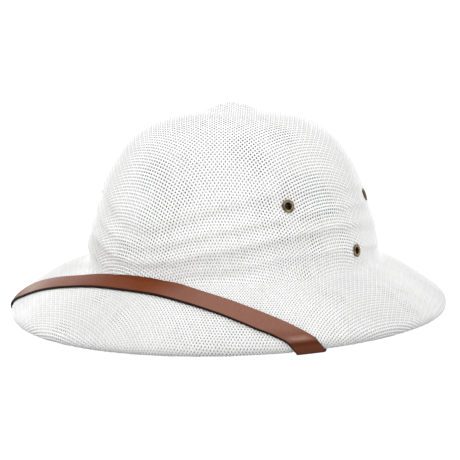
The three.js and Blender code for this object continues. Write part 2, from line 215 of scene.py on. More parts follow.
@dataclass
class HelmetForm:
    """The helmet's closed wall as one table of points: rows from the outer apex to the rim and back inside.

    All sizes are millimetres and are those of the solids.
    """

    rim_width: float = 292.0
    rim_length: float = 330.0
    crown_width: float = 200.0
    crown_length: float = 227.0
    crown_rise: float = 105.0
    brim_fall: float = 29.5
    foot_setback: float = 3.8
    dome_setback: float = 0.6
    button_rise: float = 4.6
    button_radius: float = 22.0
    wall: float = 2.2
    hem_height: float = 8.2
    hem_thickness: float = 5.2
    hem_bulge: float = 1.6
    hem_foot_width: float = 2.4
    fold_depth: float = 1.2
    brim_bulge: float = 4.0
    band_lift: float = 1.9
    crown_section: tuple = (
        (0, 1), (0.05, 0.986), (0.12, 0.979), (0.26, 0.946), (0.42, 0.894), (0.58, 0.836),
        (0.72, 0.757), (0.83, 0.663), (0.91, 0.544), (0.965, 0.394), (0.992, 0.19), (1, 0),
    )
    brim_section: tuple = (
        (0, 1), (0.1, 0.915), (0.22, 0.82), (0.4, 0.69), (0.62, 0.49), (0.83, 0.235), (1, 0),
    )
    hem_section: tuple = ((0.72, 0.8), (1, 0.55), (0.8, 0.28), (0.12, 0.09))
    hem_foot_out: float = -0.45
    hem_inner_height: float = 0.09
    brim_swell: tuple = (0.15, 0.3, 0.45, 0, -0.45, -0.4, -0.3)
    fold_heights: tuple = (
        (0.3, 0.445, 0.535, 0.525, 0.47, 0.43, 0.4),
        (0.2, 0.305, 0.378, 0.405, 0.367, 0.33, 0.3),
        (0.095, 0.188, 0.272, 0.29, 0.215, 0.19, 0.17),
        (0.022, 0.064, 0.147, 0.135, 0.068, 0.055, 0.05),
    )
    fold_strengths: tuple = (
        (0.7, 0.9, 0.7, 0.4, 0.15, 0.15, 0.15),
        (0.6, 1, 1, 0.8, 0.25, 0.2, 0.2),
        (0.5, 0.9, 1, 0.9, 0.25, 0.2, 0.2),
        (0, 0.6, 1, 0.8, 0.2, 0.15, 0.15),
    )
    folds_top: float = 0.72
    fold_fade: float = 0.45
    fold_step: float = 0.25
    fold_step_depth: float = -0.3
    eyelet_flat_radius: float = 6.5
    eyelet_fade: float = 7.0
    lift_full_angle: float = 72.0
    lift_end_angle: float = 128.0
    dome_reaches: tuple = (0.07, 0.13, 0.18, 0.25, 0.36, 0.48, 0.59, 0.68)
    inner_dome_reaches: tuple = (0.1, 0.2, 0.36, 0.52, 0.66)
    brim_runs: tuple = (0.1, 0.22, 0.38, 0.55, 0.72, 0.87)
    inner_brim_runs: tuple = (0.14, 0.34, 0.55, 0.76, 0.93)
    eyelets: tuple = ((60, 0.445), (91, 0.112), (116.5, 0.42))
    # Painted shade and light on the straw: tones by row, by turn on the wall, brim and hem, and darker in the
    # crease at the crown's foot.
    shade_rows: tuple = (0, 2.5, 4, 5, 6.5, 8, 9, 11, 18, 20, 22, 23, 28, 30, 31, 33)
    shade_tones: tuple = (
        0.1, 0.14, 0.22, 0.17, 0.05, 0.03, 0.08, 0.12, 0.14, 0.08, 0.08, 0.12, 0.24, 0.28, 0.4, 0.5,
    )
    shade_turns: tuple = (-75, -45, -30, -15, 0, 15, 30, 45, 60, 75, 90, 105, 120, 150)
    wall_shade_tones: tuple = (0.1, 0.04, 0.02, -0.04, 0.04, 0.1, 0.06, 0.0, 0.02, -0.06, -0.06, 0.02, 0.05, 0.12)
    brim_shade_tones: tuple = (0.5, 0.42, -0.16, -0.12, 0.16, 0.2, 0.2, 0.2, 0.08, 0, 0, 0.14, 0.35, 0.3)
    hem_shade_tones: tuple = (-0.1, -0.15, -0.2, -0.18, 0, 0.1, 0.08, 0.12, 0.12, 0.05, -0.05, 0, 0, 0)
    crease_row: float = 18.7
    crease_spread: float = 1.5
    crease_shade_tones: tuple = (0.05, 0.28, 0.2, 0, 0, 0, 0)
    turns: int = 720
    steps: int = 8
    table: np.ndarray = field(init=False, repr=False)
    smooth_table: np.ndarray = field(init=False, repr=False)
    normals: np.ndarray = field(init=False, repr=False)
    lengths: np.ndarray = field(init=False, repr=False)
    spots: list = field(init=False, repr=False)
    foot_row: int = field(init=False)
    rim_row: int = field(init=False)
    hem_end_row: int = field(init=False)

    def __post_init__(self) -> None:
        """Work out the curves, the eyelets' places and the tables."""
        rows = [(reach, height) for height, reach in self.crown_section]
        rows.append((-rows[-2][0], rows[-2][1]))
        curve = spline_rows(np.array(rows, dtype=float), 40 * len(self.crown_section))
        self._crown = curve[curve[:, 0] >= 0]
        self._brim = spline_rows(np.array(self.brim_section, dtype=float), 30 * len(self.brim_section))
        self.spots = []
        for side in (-1, 1):
            for angle, height in self.eyelets:
                turn = np.array([side * math.radians(angle)])
                level = np.array([height])
                centre = self.crown(turn, level, self.reach_at(level))[0]
                self.spots.append((centre, self.crown_normal(turn, level)[0]))
        self._tabulate()

    def reach_at(self, height: np.ndarray) -> np.ndarray:
        """Give the crown's reach at a share of its rise."""
        return np.interp(height, self._crown[:, 1], self._crown[:, 0])

    def height_at(self, reach: np.ndarray) -> np.ndarray:
        """Give the share of the crown's rise at a reach."""
        return np.interp(reach, self._crown[::-1, 0], self._crown[::-1, 1])

    def front_lift(self, turn: np.ndarray) -> np.ndarray:
        """Give the lift of the rim's front over the band that passes under it."""
        angle = angle_from_front(turn)
        return self.band_lift * (1.0 - smoothstep(angle, self.lift_full_angle, self.lift_end_angle))

    def crown(self, turn: np.ndarray, height: np.ndarray, reach: np.ndarray) -> np.ndarray:
        """Give points of the smooth crown.

        Args:
            turn: Turns from the front, in radians.
            height: Shares of the crown's rise.
            reach: Shares of the foot's half-width and half-length.

        Returns:
            One point a row, in millimetres.
        """
        x = 0.5 * self.crown_width * reach * np.sin(turn)
        y = -0.5 * self.crown_length * reach * np.cos(turn)
        from_top = np.minimum(np.hypot(x, y) / self.button_radius, 1.0)
        button = self.button_rise * (1.0 - from_top**2) ** 2
        setback = self.foot_setback + (self.dome_setback - self.foot_setback) * height
        foot = self.hem_height + self.brim_fall
        return np.stack([x, y + setback, foot + self.crown_rise * height + button], axis=-1)

    def brim(self, turn: np.ndarray, run: np.ndarray) -> np.ndarray:
        """Give points of the brim's top face.

        Args:
            turn: Turns from the front, in radians.
            run: Shares of the way from the crown's foot to the rim.

        Returns:
            One point a row, in millimetres.
        """
        half_width = 0.5 * (self.crown_width + (self.rim_width - self.crown_width) * run)
        half_length = 0.5 * (self.crown_length + (self.rim_length - self.crown_length) * run)
        swell = 4.0 * self.brim_bulge * run * (1.0 - run)
        swell = swell * round_the_crown(self.brim_swell, angle_from_front(turn))
        fall = self.brim_fall * np.interp(run, self._brim[:, 0], self._brim[:, 1])
        x = half_width * np.sin(turn)
        y = self.foot_setback * (1.0 - run) - half_length * np.cos(turn)
        return np.stack([x, y, self.hem_height + fall + swell + run * self.front_lift(turn)], axis=-1)

    def crown_normal(self, turn: np.ndarray, height: np.ndarray) -> np.ndarray:
        """Give the crown's outward direction.

        Args:
            turn: Turns from the front, in radians.
            height: Shares of the crown's rise.

        Returns:
            One direction a row.
        """

        def at(a: np.ndarray, h: np.ndarray) -> np.ndarray:
            """Read the crown at a turn and a height."""
            return self.crown(a, h, self.reach_at(np.maximum(h, 0.0)))

        along = at(turn + 0.02, height) - at(turn - 0.02, height)
        return unit(np.cross(along, at(turn, height + 0.01) - at(turn, height - 0.01)))

    def brim_normal(self, turn: np.ndarray, run: np.ndarray) -> np.ndarray:
        """Give the brim's outward direction.

        Args:
            turn: Turns from the front, in radians.
            run: Shares of the way from the crown's foot to the rim.

        Returns:
            One direction a row.
        """
        run = np.clip(run, 0.03, 0.97)
        along = self.brim(turn + 0.02, run) - self.brim(turn - 0.02, run)
        return unit(np.cross(along, self.brim(turn, run - 0.03) - self.brim(turn, run + 0.03)))

    def folded(self, turn: np.ndarray, height: np.ndarray, push: np.ndarray, inset: float) -> np.ndarray:
        """Give points of the lower crown, pushed out by its folds and set in below the outer face.

        Args:
            turn: Turns from the front, in radians.
            height: Shares of the crown's rise.
            push: Shares of the folds' depth.
            inset: Depth below the outer face, in millimetres.

        Returns:
            One point a row, in millimetres.
        """
        point = self.crown(turn, height, self.reach_at(height))
        clear = np.ones(len(point))
        for centre, _ in self.spots:
            away = np.linalg.norm(point - centre, axis=-1) - self.eyelet_flat_radius
            clear = np.minimum(clear, smoothstep(away, 0.0, self.eyelet_fade))
        out = self.fold_depth * push * clear - inset
        return point + self.crown_normal(turn, height) * out[:, None]

    def fold_row(self, k: int, kind: FoldRow, turn: np.ndarray, inset: float, flat: bool) -> np.ndarray:
        """Give one row of a fold.

        Args:
            k: Number of the fold from the top.
            kind: Which of the fold's rows.
            turn: Turns from the front, in radians.
            inset: Depth below the outer face, in millimetres.
            flat: Whether the fold is pressed flat.

        Returns:
            One point a turn, in millimetres.
        """
        angle = angle_from_front(turn)
        crest = round_the_crown(self.fold_heights[k], angle)
        strength = np.maximum(round_the_crown(self.fold_strengths[k], angle), 0.0)
        above = round_the_crown(self.fold_heights[k - 1], angle) if k else np.full_like(crest, self.folds_top)
        last = k == len(self.fold_heights) - 1
        below = np.zeros_like(crest) if last else round_the_crown(self.fold_heights[k + 1], angle)
        level, push = {
            FoldRow.FADE: (crest + (above - crest) * self.fold_fade, 0.0 * strength),
            FoldRow.CREST: (crest, strength),
            FoldRow.STEP: (crest + (below - crest) * self.fold_step, self.fold_step_depth * strength),
        }[kind]
        return self.folded(turn, level, push * (0.0 if flat else 1.0), inset)

    def hem(self, turn: np.ndarray, out: float, height: float) -> np.ndarray:
        """Give one row of the hem.

        Args:
            turn: Turns from the front, in radians.
            out: How far it lies past the hem's top edge, in millimetres.
            height: Its height over the hem's underside, in millimetres.

        Returns:
            One point a turn, in millimetres.
        """
        rim = self.brim(turn, np.ones_like(turn))
        flat = np.zeros_like(turn)
        away = unit(np.stack([self.rim_length * np.sin(turn), -self.rim_width * np.cos(turn), flat], axis=-1))
        point = rim + away * out
        point[:, 2] = self.front_lift(turn) + height
        return point

    def _rows(self, turn: np.ndarray, flat: bool) -> list:
        """List the rows of points from the outer apex round the hem to the inner apex.

        Args:
            turn: Turns from the front, in radians.
            flat: Whether the folds are pressed flat.

        Returns:
            The rows, each with one point a turn.
        """
        one = np.ones_like(turn)
        folds, kinds = range(len(self.fold_heights)), list(FoldRow)
        top = self.folds_top * one
        rows = [self.crown(turn, one, 0 * one)]
        rows += [self.crown(turn, self.height_at(r * one), r * one) for r in self.dome_reaches]
        rows.append(self.crown(turn, top, self.reach_at(top)))
        rows += [self.fold_row(k, kind, turn, 0.0, flat) for k in folds for kind in kinds]
        self.foot_row = len(rows)
        rows += [self.brim(turn, run * one) for run in (0.0, *self.brim_runs, 1.0)]
        self.rim_row = len(rows) - 1
        for out, high in self.hem_section:
            rows.append(self.hem(turn, self.hem_bulge * out, self.hem_height * high))
        foot_out = self.hem_foot_out * self.hem_bulge
        rows.append(self.hem(turn, foot_out, 0.0))
        rows.append(self.hem(turn, foot_out - self.hem_foot_width, 0.0))
        self.hem_end_row = len(rows)
        inner = self.hem_bulge - self.hem_thickness
        rows.append(self.hem(turn, inner, self.hem_inner_height * self.hem_height))
        for run in reversed(self.inner_brim_runs):
            rows.append(self.brim(turn, run * one) - self.wall * self.brim_normal(turn, run * one))
        foot = unit(self.crown_normal(turn, 0 * one) + self.brim_normal(turn, 0 * one))
        rows.append(self.brim(turn, 0 * one) - self.wall * foot)
        for k in reversed(folds):
            rows += [self.fold_row(k, kind, turn, self.wall, flat) for kind in reversed(kinds)]
        rows.append(self.folded(turn, top, 0 * one, self.wall))
        for reach in reversed(self.inner_dome_reaches):
            level = self.height_at(reach * one)
            rows.append(self.crown(turn, level, reach * one) - self.wall * self.crown_normal(turn, level))
        rows.append(self.crown(turn, one, 0 * one) - np.array([0, 0, self.wall]))
        return rows

    def _tabulate(self) -> None:
        """Fill the tables of points, outward directions and lengths down the outer face."""
        turn = np.arange(self.turns) * FULL_TURN / self.turns
        self.table = self._smooth(np.stack(self._rows(turn, False), axis=1))
        self.smooth_table = self._smooth(np.stack(self._rows(turn, True), axis=1))
        for table in (self.table, self.smooth_table):
            low = self.front_lift(turn)[:, None]
            hem = slice(self.rim_row * self.steps, (self.hem_end_row + 1) * self.steps)
            table[:, hem, 2] = np.maximum(table[:, hem, 2], low)
        around = np.roll(self.table, -1, axis=0) - np.roll(self.table, 1, axis=0)
        down = np.gradient(self.table, axis=1)
        self.normals = unit(np.cross(down, around))
        self.normals[:, 0] = (0, 0, 1)
        self.normals[:, -1] = (0, 0, -1)
        stride = np.linalg.norm(np.diff(self.smooth_table, axis=1), axis=-1)
        self.lengths = np.concatenate([np.zeros((self.turns, 1)), np.cumsum(stride, axis=1)], axis=1)

    def _smooth(self, rows: np.ndarray) -> np.ndarray:
        """Draw a smooth line down through the rows of each turn.

        Args:
            rows: Points by turn and row.

        Returns:
            Points by turn and column, with a fixed number of columns to a row.
        """
        chord = np.maximum(np.linalg.norm(np.diff(rows, axis=1), axis=-1, keepdims=True), 1e-6)
        slope = np.diff(rows, axis=1) / chord
        tangent = np.empty_like(rows)
        before, after = chord[:, :-1], chord[:, 1:]
        tangent[:, 1:-1] = (slope[:, :-1] * after + slope[:, 1:] * before) / (before + after)
        for end, first in ((0, 0), (-1, -1)):
            flat = slope[:, first].copy()
            flat[:, 2] = 0.0
            tangent[:, end] = unit(flat)
        share = (np.arange(self.steps) / self.steps)[None, None, :, None]
        a, b = rows[:, :-1, None], rows[:, 1:, None]
        h = chord[:, :, None]
        p, q = tangent[:, :-1, None] * h, tangent[:, 1:, None] * h
        u2, u3 = share**2, share**3
        body = a * (2 * u3 - 3 * u2 + 1) + p * (u3 - 2 * u2 + share) + b * (3 * u2 - 2 * u3) + q * (u3 - u2)
        turns = rows.shape[0]
        return np.concatenate([body.reshape(turns, -1, 3), rows[:, -1:]], axis=1)

    def shade(self, turn: np.ndarray, column: np.ndarray) -> np.ndarray:
        """Give the shade and light painted on the straw, by its row, its side of the helmet and the crease at
        the crown's foot.

        Args:
            turn: Turns from the front, in radians.
            column: Columns of the table.

        Returns:
            A share from nought to one at each place.
        """
        row, degrees = column / self.steps, np.degrees(turn)
        tone = np.interp(row, self.shade_rows, self.shade_tones)
        # Painted shade in the crease at the crown's foot.
        crease = np.exp(-(((row - self.crease_row) / self.crease_spread) ** 2))
        on_brim = smoothstep(row, self.foot_row - 0.5, self.foot_row + 1.5)
        on_hem = smoothstep(row, self.rim_row + 0.3, self.rim_row + 1.3)
        shares = (smoothstep(row, 6.0, 9.0) - on_brim, on_brim - on_hem, on_hem)
        for share, tones in zip(shares, (self.wall_shade_tones, self.brim_shade_tones, self.hem_shade_tones)):
            tone = tone + share * np.interp(degrees, self.shade_turns, tones, period=360.0)
        return tone + crease * round_the_crown(self.crease_shade_tones, angle_from_front(turn))

    def read(self, table: np.ndarray, turn: np.ndarray, column: np.ndarray) -> np.ndarray:
        """Read a table between its entries.

        Args:
            table: Values by turn and column.
            turn: Turns from the front, in radians.
            column: Columns, whole or not.

        Returns:
            The value at each turn and column.
        """
        turn, column = np.asarray(turn, dtype=float), np.asarray(column, dtype=float)
        count = table.shape[0]
        a = (turn / FULL_TURN % 1.0) * count
        i = np.floor(a).astype(int)
        j = np.clip(np.floor(column).astype(int), 0, table.shape[1] - 2)
        u, v = a - i, np.clip(column - j, 0.0, 1.0)
        i, k = i % count, (i + 1) % count
        if table.ndim == 3:
            u, v = u[..., None], v[..., None]
        near = table[i, j] * (1 - v) + table[i, j + 1] * v
        far = table[k, j] * (1 - v) + table[k, j + 1] * v
        return near * (1 - u) + far * u

    def at(self, turn: np.ndarray, column: np.ndarray) -> np.ndarray:
        """Give points of the wall."""
        return self.read(self.table, turn, column)

    def up(self, turn: np.ndarray, column: np.ndarray) -> np.ndarray:
        """Give the wall's outward directions."""
        return unit(self.read(self.normals, turn, column))

    def around(self, turn: np.ndarray, column: np.ndarray) -> np.ndarray:
        """Give the wall's run round the helmet, in millimetres a radian."""
        return (self.at(turn + 0.01, column) - self.at(turn - 0.01, column)) / 0.02


@dataclass
class ClothNet:
    """Crossings of the woven cloth, pressed over the helmet: their places down the wall and round it.

    The flat cloth is laid over the dome by smooth waves round it. The waves are chosen so that its strands
    stretch and crowd as little as they can, as wet cloth does when it is pressed on a block.
    """

    form: HelmetForm
    pitch: float = 2.26
    half: int = 118
    grain: float = -11.5
    reach: float = 246.0
    shear: float = 0.2
    overhang: float = 40.0
    powers: tuple = (0, 2, 3, 4, 5)
    length_waves: tuple = (0, 2, 4, 6)
    turn_waves: tuple = (2, 4, 6, 8)
    rounds: int = 5
    probe: float = 3.0
    sway: float = 0.035
    seed: int = 5
    turn: np.ndarray = field(init=False, repr=False)
    length: np.ndarray = field(init=False, repr=False)
    end: np.ndarray = field(init=False, repr=False)

    def __post_init__(self) -> None:
        """Press the cloth over the form and place its crossings."""
        form = self.form
        rim = form.rim_row * form.steps
        rim_length = form.lengths[:, rim]
        at = np.arange(int(rim_length.max() + self.overhang) + 2, dtype=float)
        self._block = np.empty((form.turns, len(at), 3))
        for i in range(form.turns):
            past = np.maximum(at - rim_length[i], 0.0)[:, None]
            down = form.smooth_table[i, rim] - form.smooth_table[i, rim - form.steps]
            for axis in range(3):
                column = form.smooth_table[i, : rim + 1, axis]
                self._block[i, :, axis] = np.interp(at, form.lengths[i, : rim + 1], column)
            self._block[i] += past * down / np.linalg.norm(down)
        most = int(form.lengths[:, (form.hem_end_row + 1) * form.steps].max()) + 2
        half_steps = np.arange(2 * most) / 2.0
        self._columns = np.stack([np.interp(half_steps, row, np.arange(len(row))) for row in form.lengths])
        self._waves = self._press()
        line = np.arange(-self.half, self.half + 1) * self.pitch
        flat = np.stack(np.meshgrid(line, line, indexing="ij"), axis=-1)
        flat = flat + self.sway * np.random.default_rng(self.seed).standard_normal(flat.shape)
        self.turn, self.length = self.lay(flat, self._waves)
        self.length[np.hypot(flat[..., 0], flat[..., 1]) > self.reach + 4.0] = 1e3
        self.end = form.lengths[:, (form.hem_end_row - 1) * form.steps]

    def lay(self, spot: np.ndarray, waves: np.ndarray) -> tuple:
        """Lay spots of the flat cloth on the wall, its grain turned a little from the helmet's front.

        Args:
            spot: Places on the cloth from its middle, in millimetres.
            waves: Strength of each wave, by kind, power and number.

        Returns:
            The turns and the lengths down the outer face.
        """
        flat = np.hypot(spot[..., 0], spot[..., 1])
        angle = np.arctan2(spot[..., 0], -spot[..., 1])
        turn, length = angle + math.radians(self.grain), flat.copy()
        for k, power in enumerate(self.powers):
            rise = (flat / self.reach) ** power
            for n, wave in enumerate(self.length_waves):
                swing = waves[0, k, n] * np.cos(wave * angle) + waves[2, k, n] * np.sin(wave * angle)
                length = length + flat * rise * swing
            for n, wave in enumerate(self.turn_waves):
                swing = waves[1, k, n] * np.sin(wave * angle) + waves[3, k, n] * np.cos(wave * angle)
                turn = turn + rise * swing
        return turn, length

    def _strain(self, waves: np.ndarray, spots: np.ndarray) -> np.ndarray:
        """Measure how far the cloth is stretched or crowded along its strands, and sheared.

        Args:
            waves: Strength of each wave.
            spots: Places on the cloth.

        Returns:
            The strain across, the strain along and the shear at each spot, in one row.
        """
        ends = []
        for offset in ((self.probe, 0), (-self.probe, 0), (0, self.probe), (0, -self.probe)):
            turn, length = self.lay(spots + offset, waves)
            length = np.clip(length, 0, self._block.shape[1] - 1.001)
            ends.append(self.form.read(self._block, turn, length))
        across, along = (ends[0] - ends[1]) / (2 * self.probe), (ends[2] - ends[3]) / (2 * self.probe)
        across_size, along_size = np.linalg.norm(across, axis=-1), np.linalg.norm(along, axis=-1)
        slant = self.shear * (across * along).sum(-1) / (across_size * along_size)
        return np.concatenate([across_size - 1.0, along_size - 1.0, slant])

    def _press(self) -> np.ndarray:
        """Choose the waves that strain the cloth least.

        Returns:
            The strength of each wave, by kind, power and number.
        """
        line = np.arange(-240.0, 241.0, 12.0)
        spots = np.stack(np.meshgrid(line, line, indexing="ij"), axis=-1).reshape(-1, 2)
        spots = spots[np.hypot(spots[:, 0], spots[:, 1]) < self.reach]
        shape = (4, len(self.powers), len(self.turn_waves))
        waves = np.zeros(shape)
        nudge = 1e-4
        for _ in range(self.rounds):
            base = self._strain(waves, spots)
            columns = []
            for k in range(waves.size):
                trial = waves.copy().reshape(-1)
                trial[k] += nudge
                columns.append((self._strain(trial.reshape(shape), spots) - base) / nudge)
            slope = np.stack(columns, axis=1)
            ease = 1e-3 * np.trace(slope.T @ slope) / waves.size * np.eye(waves.size)
            waves = waves - np.linalg.solve(slope.T @ slope + ease, slope.T @ base).reshape(shape)
            log.info("cloth strain %.4f", float(np.sqrt((base**2).mean())))
        return waves

    def column(self, turn: np.ndarray, length: np.ndarray) -> np.ndarray:
        """Give the column of the form's table at a length down its outer face.

        Args:
            turn: Turns from the front, in radians.
            length: Lengths down the smooth outer face, in millimetres.

        Returns:
            Columns, whole or not.
        """
        most = self._columns.shape[1] - 1.001
        return self.form.read(self._columns, turn, np.minimum(2.0 * length, most))

    def coordinates(self, turn: np.ndarray, length: np.ndarray) -> np.ndarray:
        """Find where points of the wall lie in the net, counted in strands.

        Args:
            turn: Turns from the front, in radians.
            length: Lengths down the outer face, in millimetres.

        Returns:
            Two numbers a point: its place along the weft and along the warp.
        """
        target = np.stack([length * np.sin(turn), -length * np.cos(turn)], axis=-1)

        def at(spot: np.ndarray) -> np.ndarray:
            """Give the chart place of a spot of the cloth."""
            a, g = self.lay(spot, self._waves)
            return np.stack([g * np.sin(a), -g * np.cos(a)], axis=-1)

        back = math.radians(-self.grain)
        spot = np.stack([length * np.sin(turn + back), -length * np.cos(turn + back)], axis=-1)
        for _ in range(16):
            miss = target - at(spot)
            da = at(spot + (0.5, 0)) - at(spot - (0.5, 0))
            db = at(spot + (0, 0.5)) - at(spot - (0, 0.5))
            det = da[..., 0] * db[..., 1] - da[..., 1] * db[..., 0]
            det = np.where(np.abs(det) < 0.1, 0.1, det)
            across = (miss[..., 0] * db[..., 1] - miss[..., 1] * db[..., 0]) / det
            along = (miss[..., 1] * da[..., 0] - miss[..., 0] * da[..., 1]) / det
            spot = spot + np.clip(np.stack([across, along], axis=-1), -12, 12)
        return spot / self.pitch


@dataclass
class OpenPatches:
    """The places where the holes of the two layers of cloth lie in step; there the under layer's holes are
    painted near-black as shade for the dark inside.

    Each listed patch has its place in the net and its size, counted in strands. The others are scattered.
    """

    patches: tuple = (
        (15, -50, 6), (8, -43, 4.5), (17, -61, 5.5), (20, -44, 3), (10, -57, 3.5), (9, -66, 3),
        (26, -20, 4.5), (33, -19, 3.5), (44, -24, 4), (46, -12, 5.5), (51, -9, 5.5), (47, -4, 4.5),
        (54, -20, 3), (63, -9, 3.5), (52, -1, 4.5), (54, -6, 3.5), (6, -46, 3.5), (36, -59, 3),
        (84, -12, 3), (59, -33, 3.5), (49, -63, 4), (54, -69, 3), (22, -90, 4.5), (7, -88, 3),
        (4, -103, 3.5), (3, -68, 3),
    )
    scattered: int = 60
    scattered_from: float = 75.0
    scattered_to: float = 330.0
    scattered_reach: float = 104.0
    scattered_sizes: tuple = (2.5, 5.0)
    seed: int = 21

    def share(self, place: np.ndarray) -> np.ndarray:
        """Say how far the two layers' holes lie in step, from nought to one.

        Args:
            place: Places in the net, counted in strands.

        Returns:
            One share a place.
        """
        rng = np.random.default_rng(self.seed)
        first, last = math.radians(self.scattered_from), math.radians(self.scattered_to)
        angle = rng.uniform(first, last, self.scattered)
        far = self.scattered_reach * np.sqrt(rng.uniform(0.02, 1.0, self.scattered))
        size = rng.uniform(*self.scattered_sizes, self.scattered)
        others = np.stack([far * np.sin(angle), -far * np.cos(angle), size], axis=-1)
        share = np.zeros(place.shape[:-1])
        for a, b, size in np.concatenate([np.array(self.patches, dtype=float), others]):
            gap = np.hypot(place[..., 0] - a, place[..., 1] - b)
            share = np.maximum(share, np.exp(-((gap / size) ** 4)))
        return share


class NodeSheet:
    """A sheet of nodes, for a material or for geometry, that is filled from Python."""

    def __init__(self, tree: bpy.types.NodeTree) -> None:
        """Keep the tree that the nodes go into.

        Args:
            tree: The node tree.
        """
        self.tree = tree

    def feed(self, node: bpy.types.Node, inputs: dict) -> None:
        """Link or set inputs of a node.

        Args:
            node: The node.
            inputs: Values or output sockets, by the input's name or number.
        """
        for key, value in inputs.items():
            if isinstance(value, bpy.types.NodeSocket):
                self.tree.links.new(value, node.inputs[key])
            else:
                node.inputs[key].default_value = value

    def node(self, kind: str, inputs: dict | None = None, **settings: object) -> bpy.types.Node:
        """Add a node.

        Args:
            kind: Blender's name of the node type.
            inputs: Values or output sockets for its inputs, by name or number.
            settings: Properties of the node itself.

        Returns:
            The new node.
        """
        made = self.tree.nodes.new(kind)
        for key, value in settings.items():
            setattr(made, key, value)
        self.feed(made, inputs or {})
        return made

    def math(self, operation: str, *values: object) -> bpy.types.NodeSocket:
        """Add a math node on numbers or sockets and give its output."""
        return self.node("ShaderNodeMath", dict(enumerate(values)), operation=operation).outputs[0]

    def product(self, first: object, second: object) -> bpy.types.NodeSocket:
        """Multiply two numbers or sockets."""
        return self.math("MULTIPLY", first, second)

    def sum(self, first: object, second: object) -> bpy.types.NodeSocket:
        """Add two numbers or sockets."""
        return self.math("ADD", first, second)

    def rest(self, first: object, second: object) -> bpy.types.NodeSocket:
        """Take the second of two numbers or sockets from the first."""
        return self.math("SUBTRACT", first, second)

    def spread(
        self, value: object, low: float, high: float, first: float, last: float
    ) -> bpy.types.NodeSocket:
        """Map a number smoothly from one range to another.

        Args:
            value: The socket to read.
            low: Where its range begins.
            high: Where it ends.
            first: What is given at low and below.
            last: What is given at high and above.

        Returns:
            The output socket.
        """
        inputs = {"Value": value, "From Min": low, "From Max": high, "To Min": first, "To Max": last}
        return self.node("ShaderNodeMapRange", inputs, interpolation_type="SMOOTHSTEP").outputs[0]

    def mix(self, share: object, first: object, second: object) -> bpy.types.NodeSocket:
        """Mix two colours by a share of the second."""
        return self.node("ShaderNodeMix", {0: share, 6: first, 7: second}, data_type="RGBA").outputs[2]

    def layers(self, colour: object, *over: tuple) -> object:
        """Lay colours over one another.

        Args:
            colour: The lowest colour.
            over: Those over it in order, each as its share and itself.

        Returns:
            The output socket.
        """
        for share, shown in over:
            colour = self.mix(share, colour, shown)
        return colour

    def here(self) -> bpy.types.NodeSocket:
        """Give the place on the piece."""
        return self.node("ShaderNodeTexCoord").outputs["Object"]

    def attribute(self, name: str, output: str = "Fac") -> bpy.types.NodeSocket:
        """Read an attribute of the piece in a material."""
        return self.node("ShaderNodeAttribute", attribute_name=name).outputs[output]

    def stored(self, name: str, kind: str = "FLOAT") -> bpy.types.NodeSocket:
        """Read an attribute of the points in a tree of geometry nodes."""
        return self.node("GeometryNodeInputNamedAttribute", {"Name": name}, data_type=kind).outputs[0]

    def parts(self, vector: bpy.types.NodeSocket) -> bpy.types.bpy_prop_collection:
        """Take a vector apart into its three numbers."""
        return self.node("ShaderNodeSeparateXYZ", {0: vector}).outputs

    def noise(self, scale: float, detail: float = 2.0) -> bpy.types.NodeSocket:
        """Give the value of a cloudy noise over the piece."""
        inputs = {"Vector": self.here(), "Scale": scale, "Detail": detail}
        return self.node("ShaderNodeTexNoise", inputs).outputs[0]

    def bump(self, height: bpy.types.NodeSocket, depth: float, strength: float = 1.0) -> bpy.types.NodeSocket:
        """Turn a height into a bumped direction; the depth is in metres."""
        inputs = {"Height": height, "Distance": depth, "Strength": strength}
        return self.node("ShaderNodeBump", inputs).outputs[0]


def new_material(name: str) -> tuple[bpy.types.Material, NodeSheet, bpy.types.Node]:
    """Start a material with its shader.

    Args:
        name: The material's name.

    Returns:
        The material, its sheet of nodes and its main shader node.
    """
    material = bpy.data.materials.new(name)
    material.use_nodes = True
    material.node_tree.nodes.clear()
    sheet = NodeSheet(material.node_tree)
    shader = sheet.node("ShaderNodeBsdfPrincipled")
    sheet.node("ShaderNodeOutputMaterial", {"Surface": shader.outputs[0]})
    return material, sheet, shader


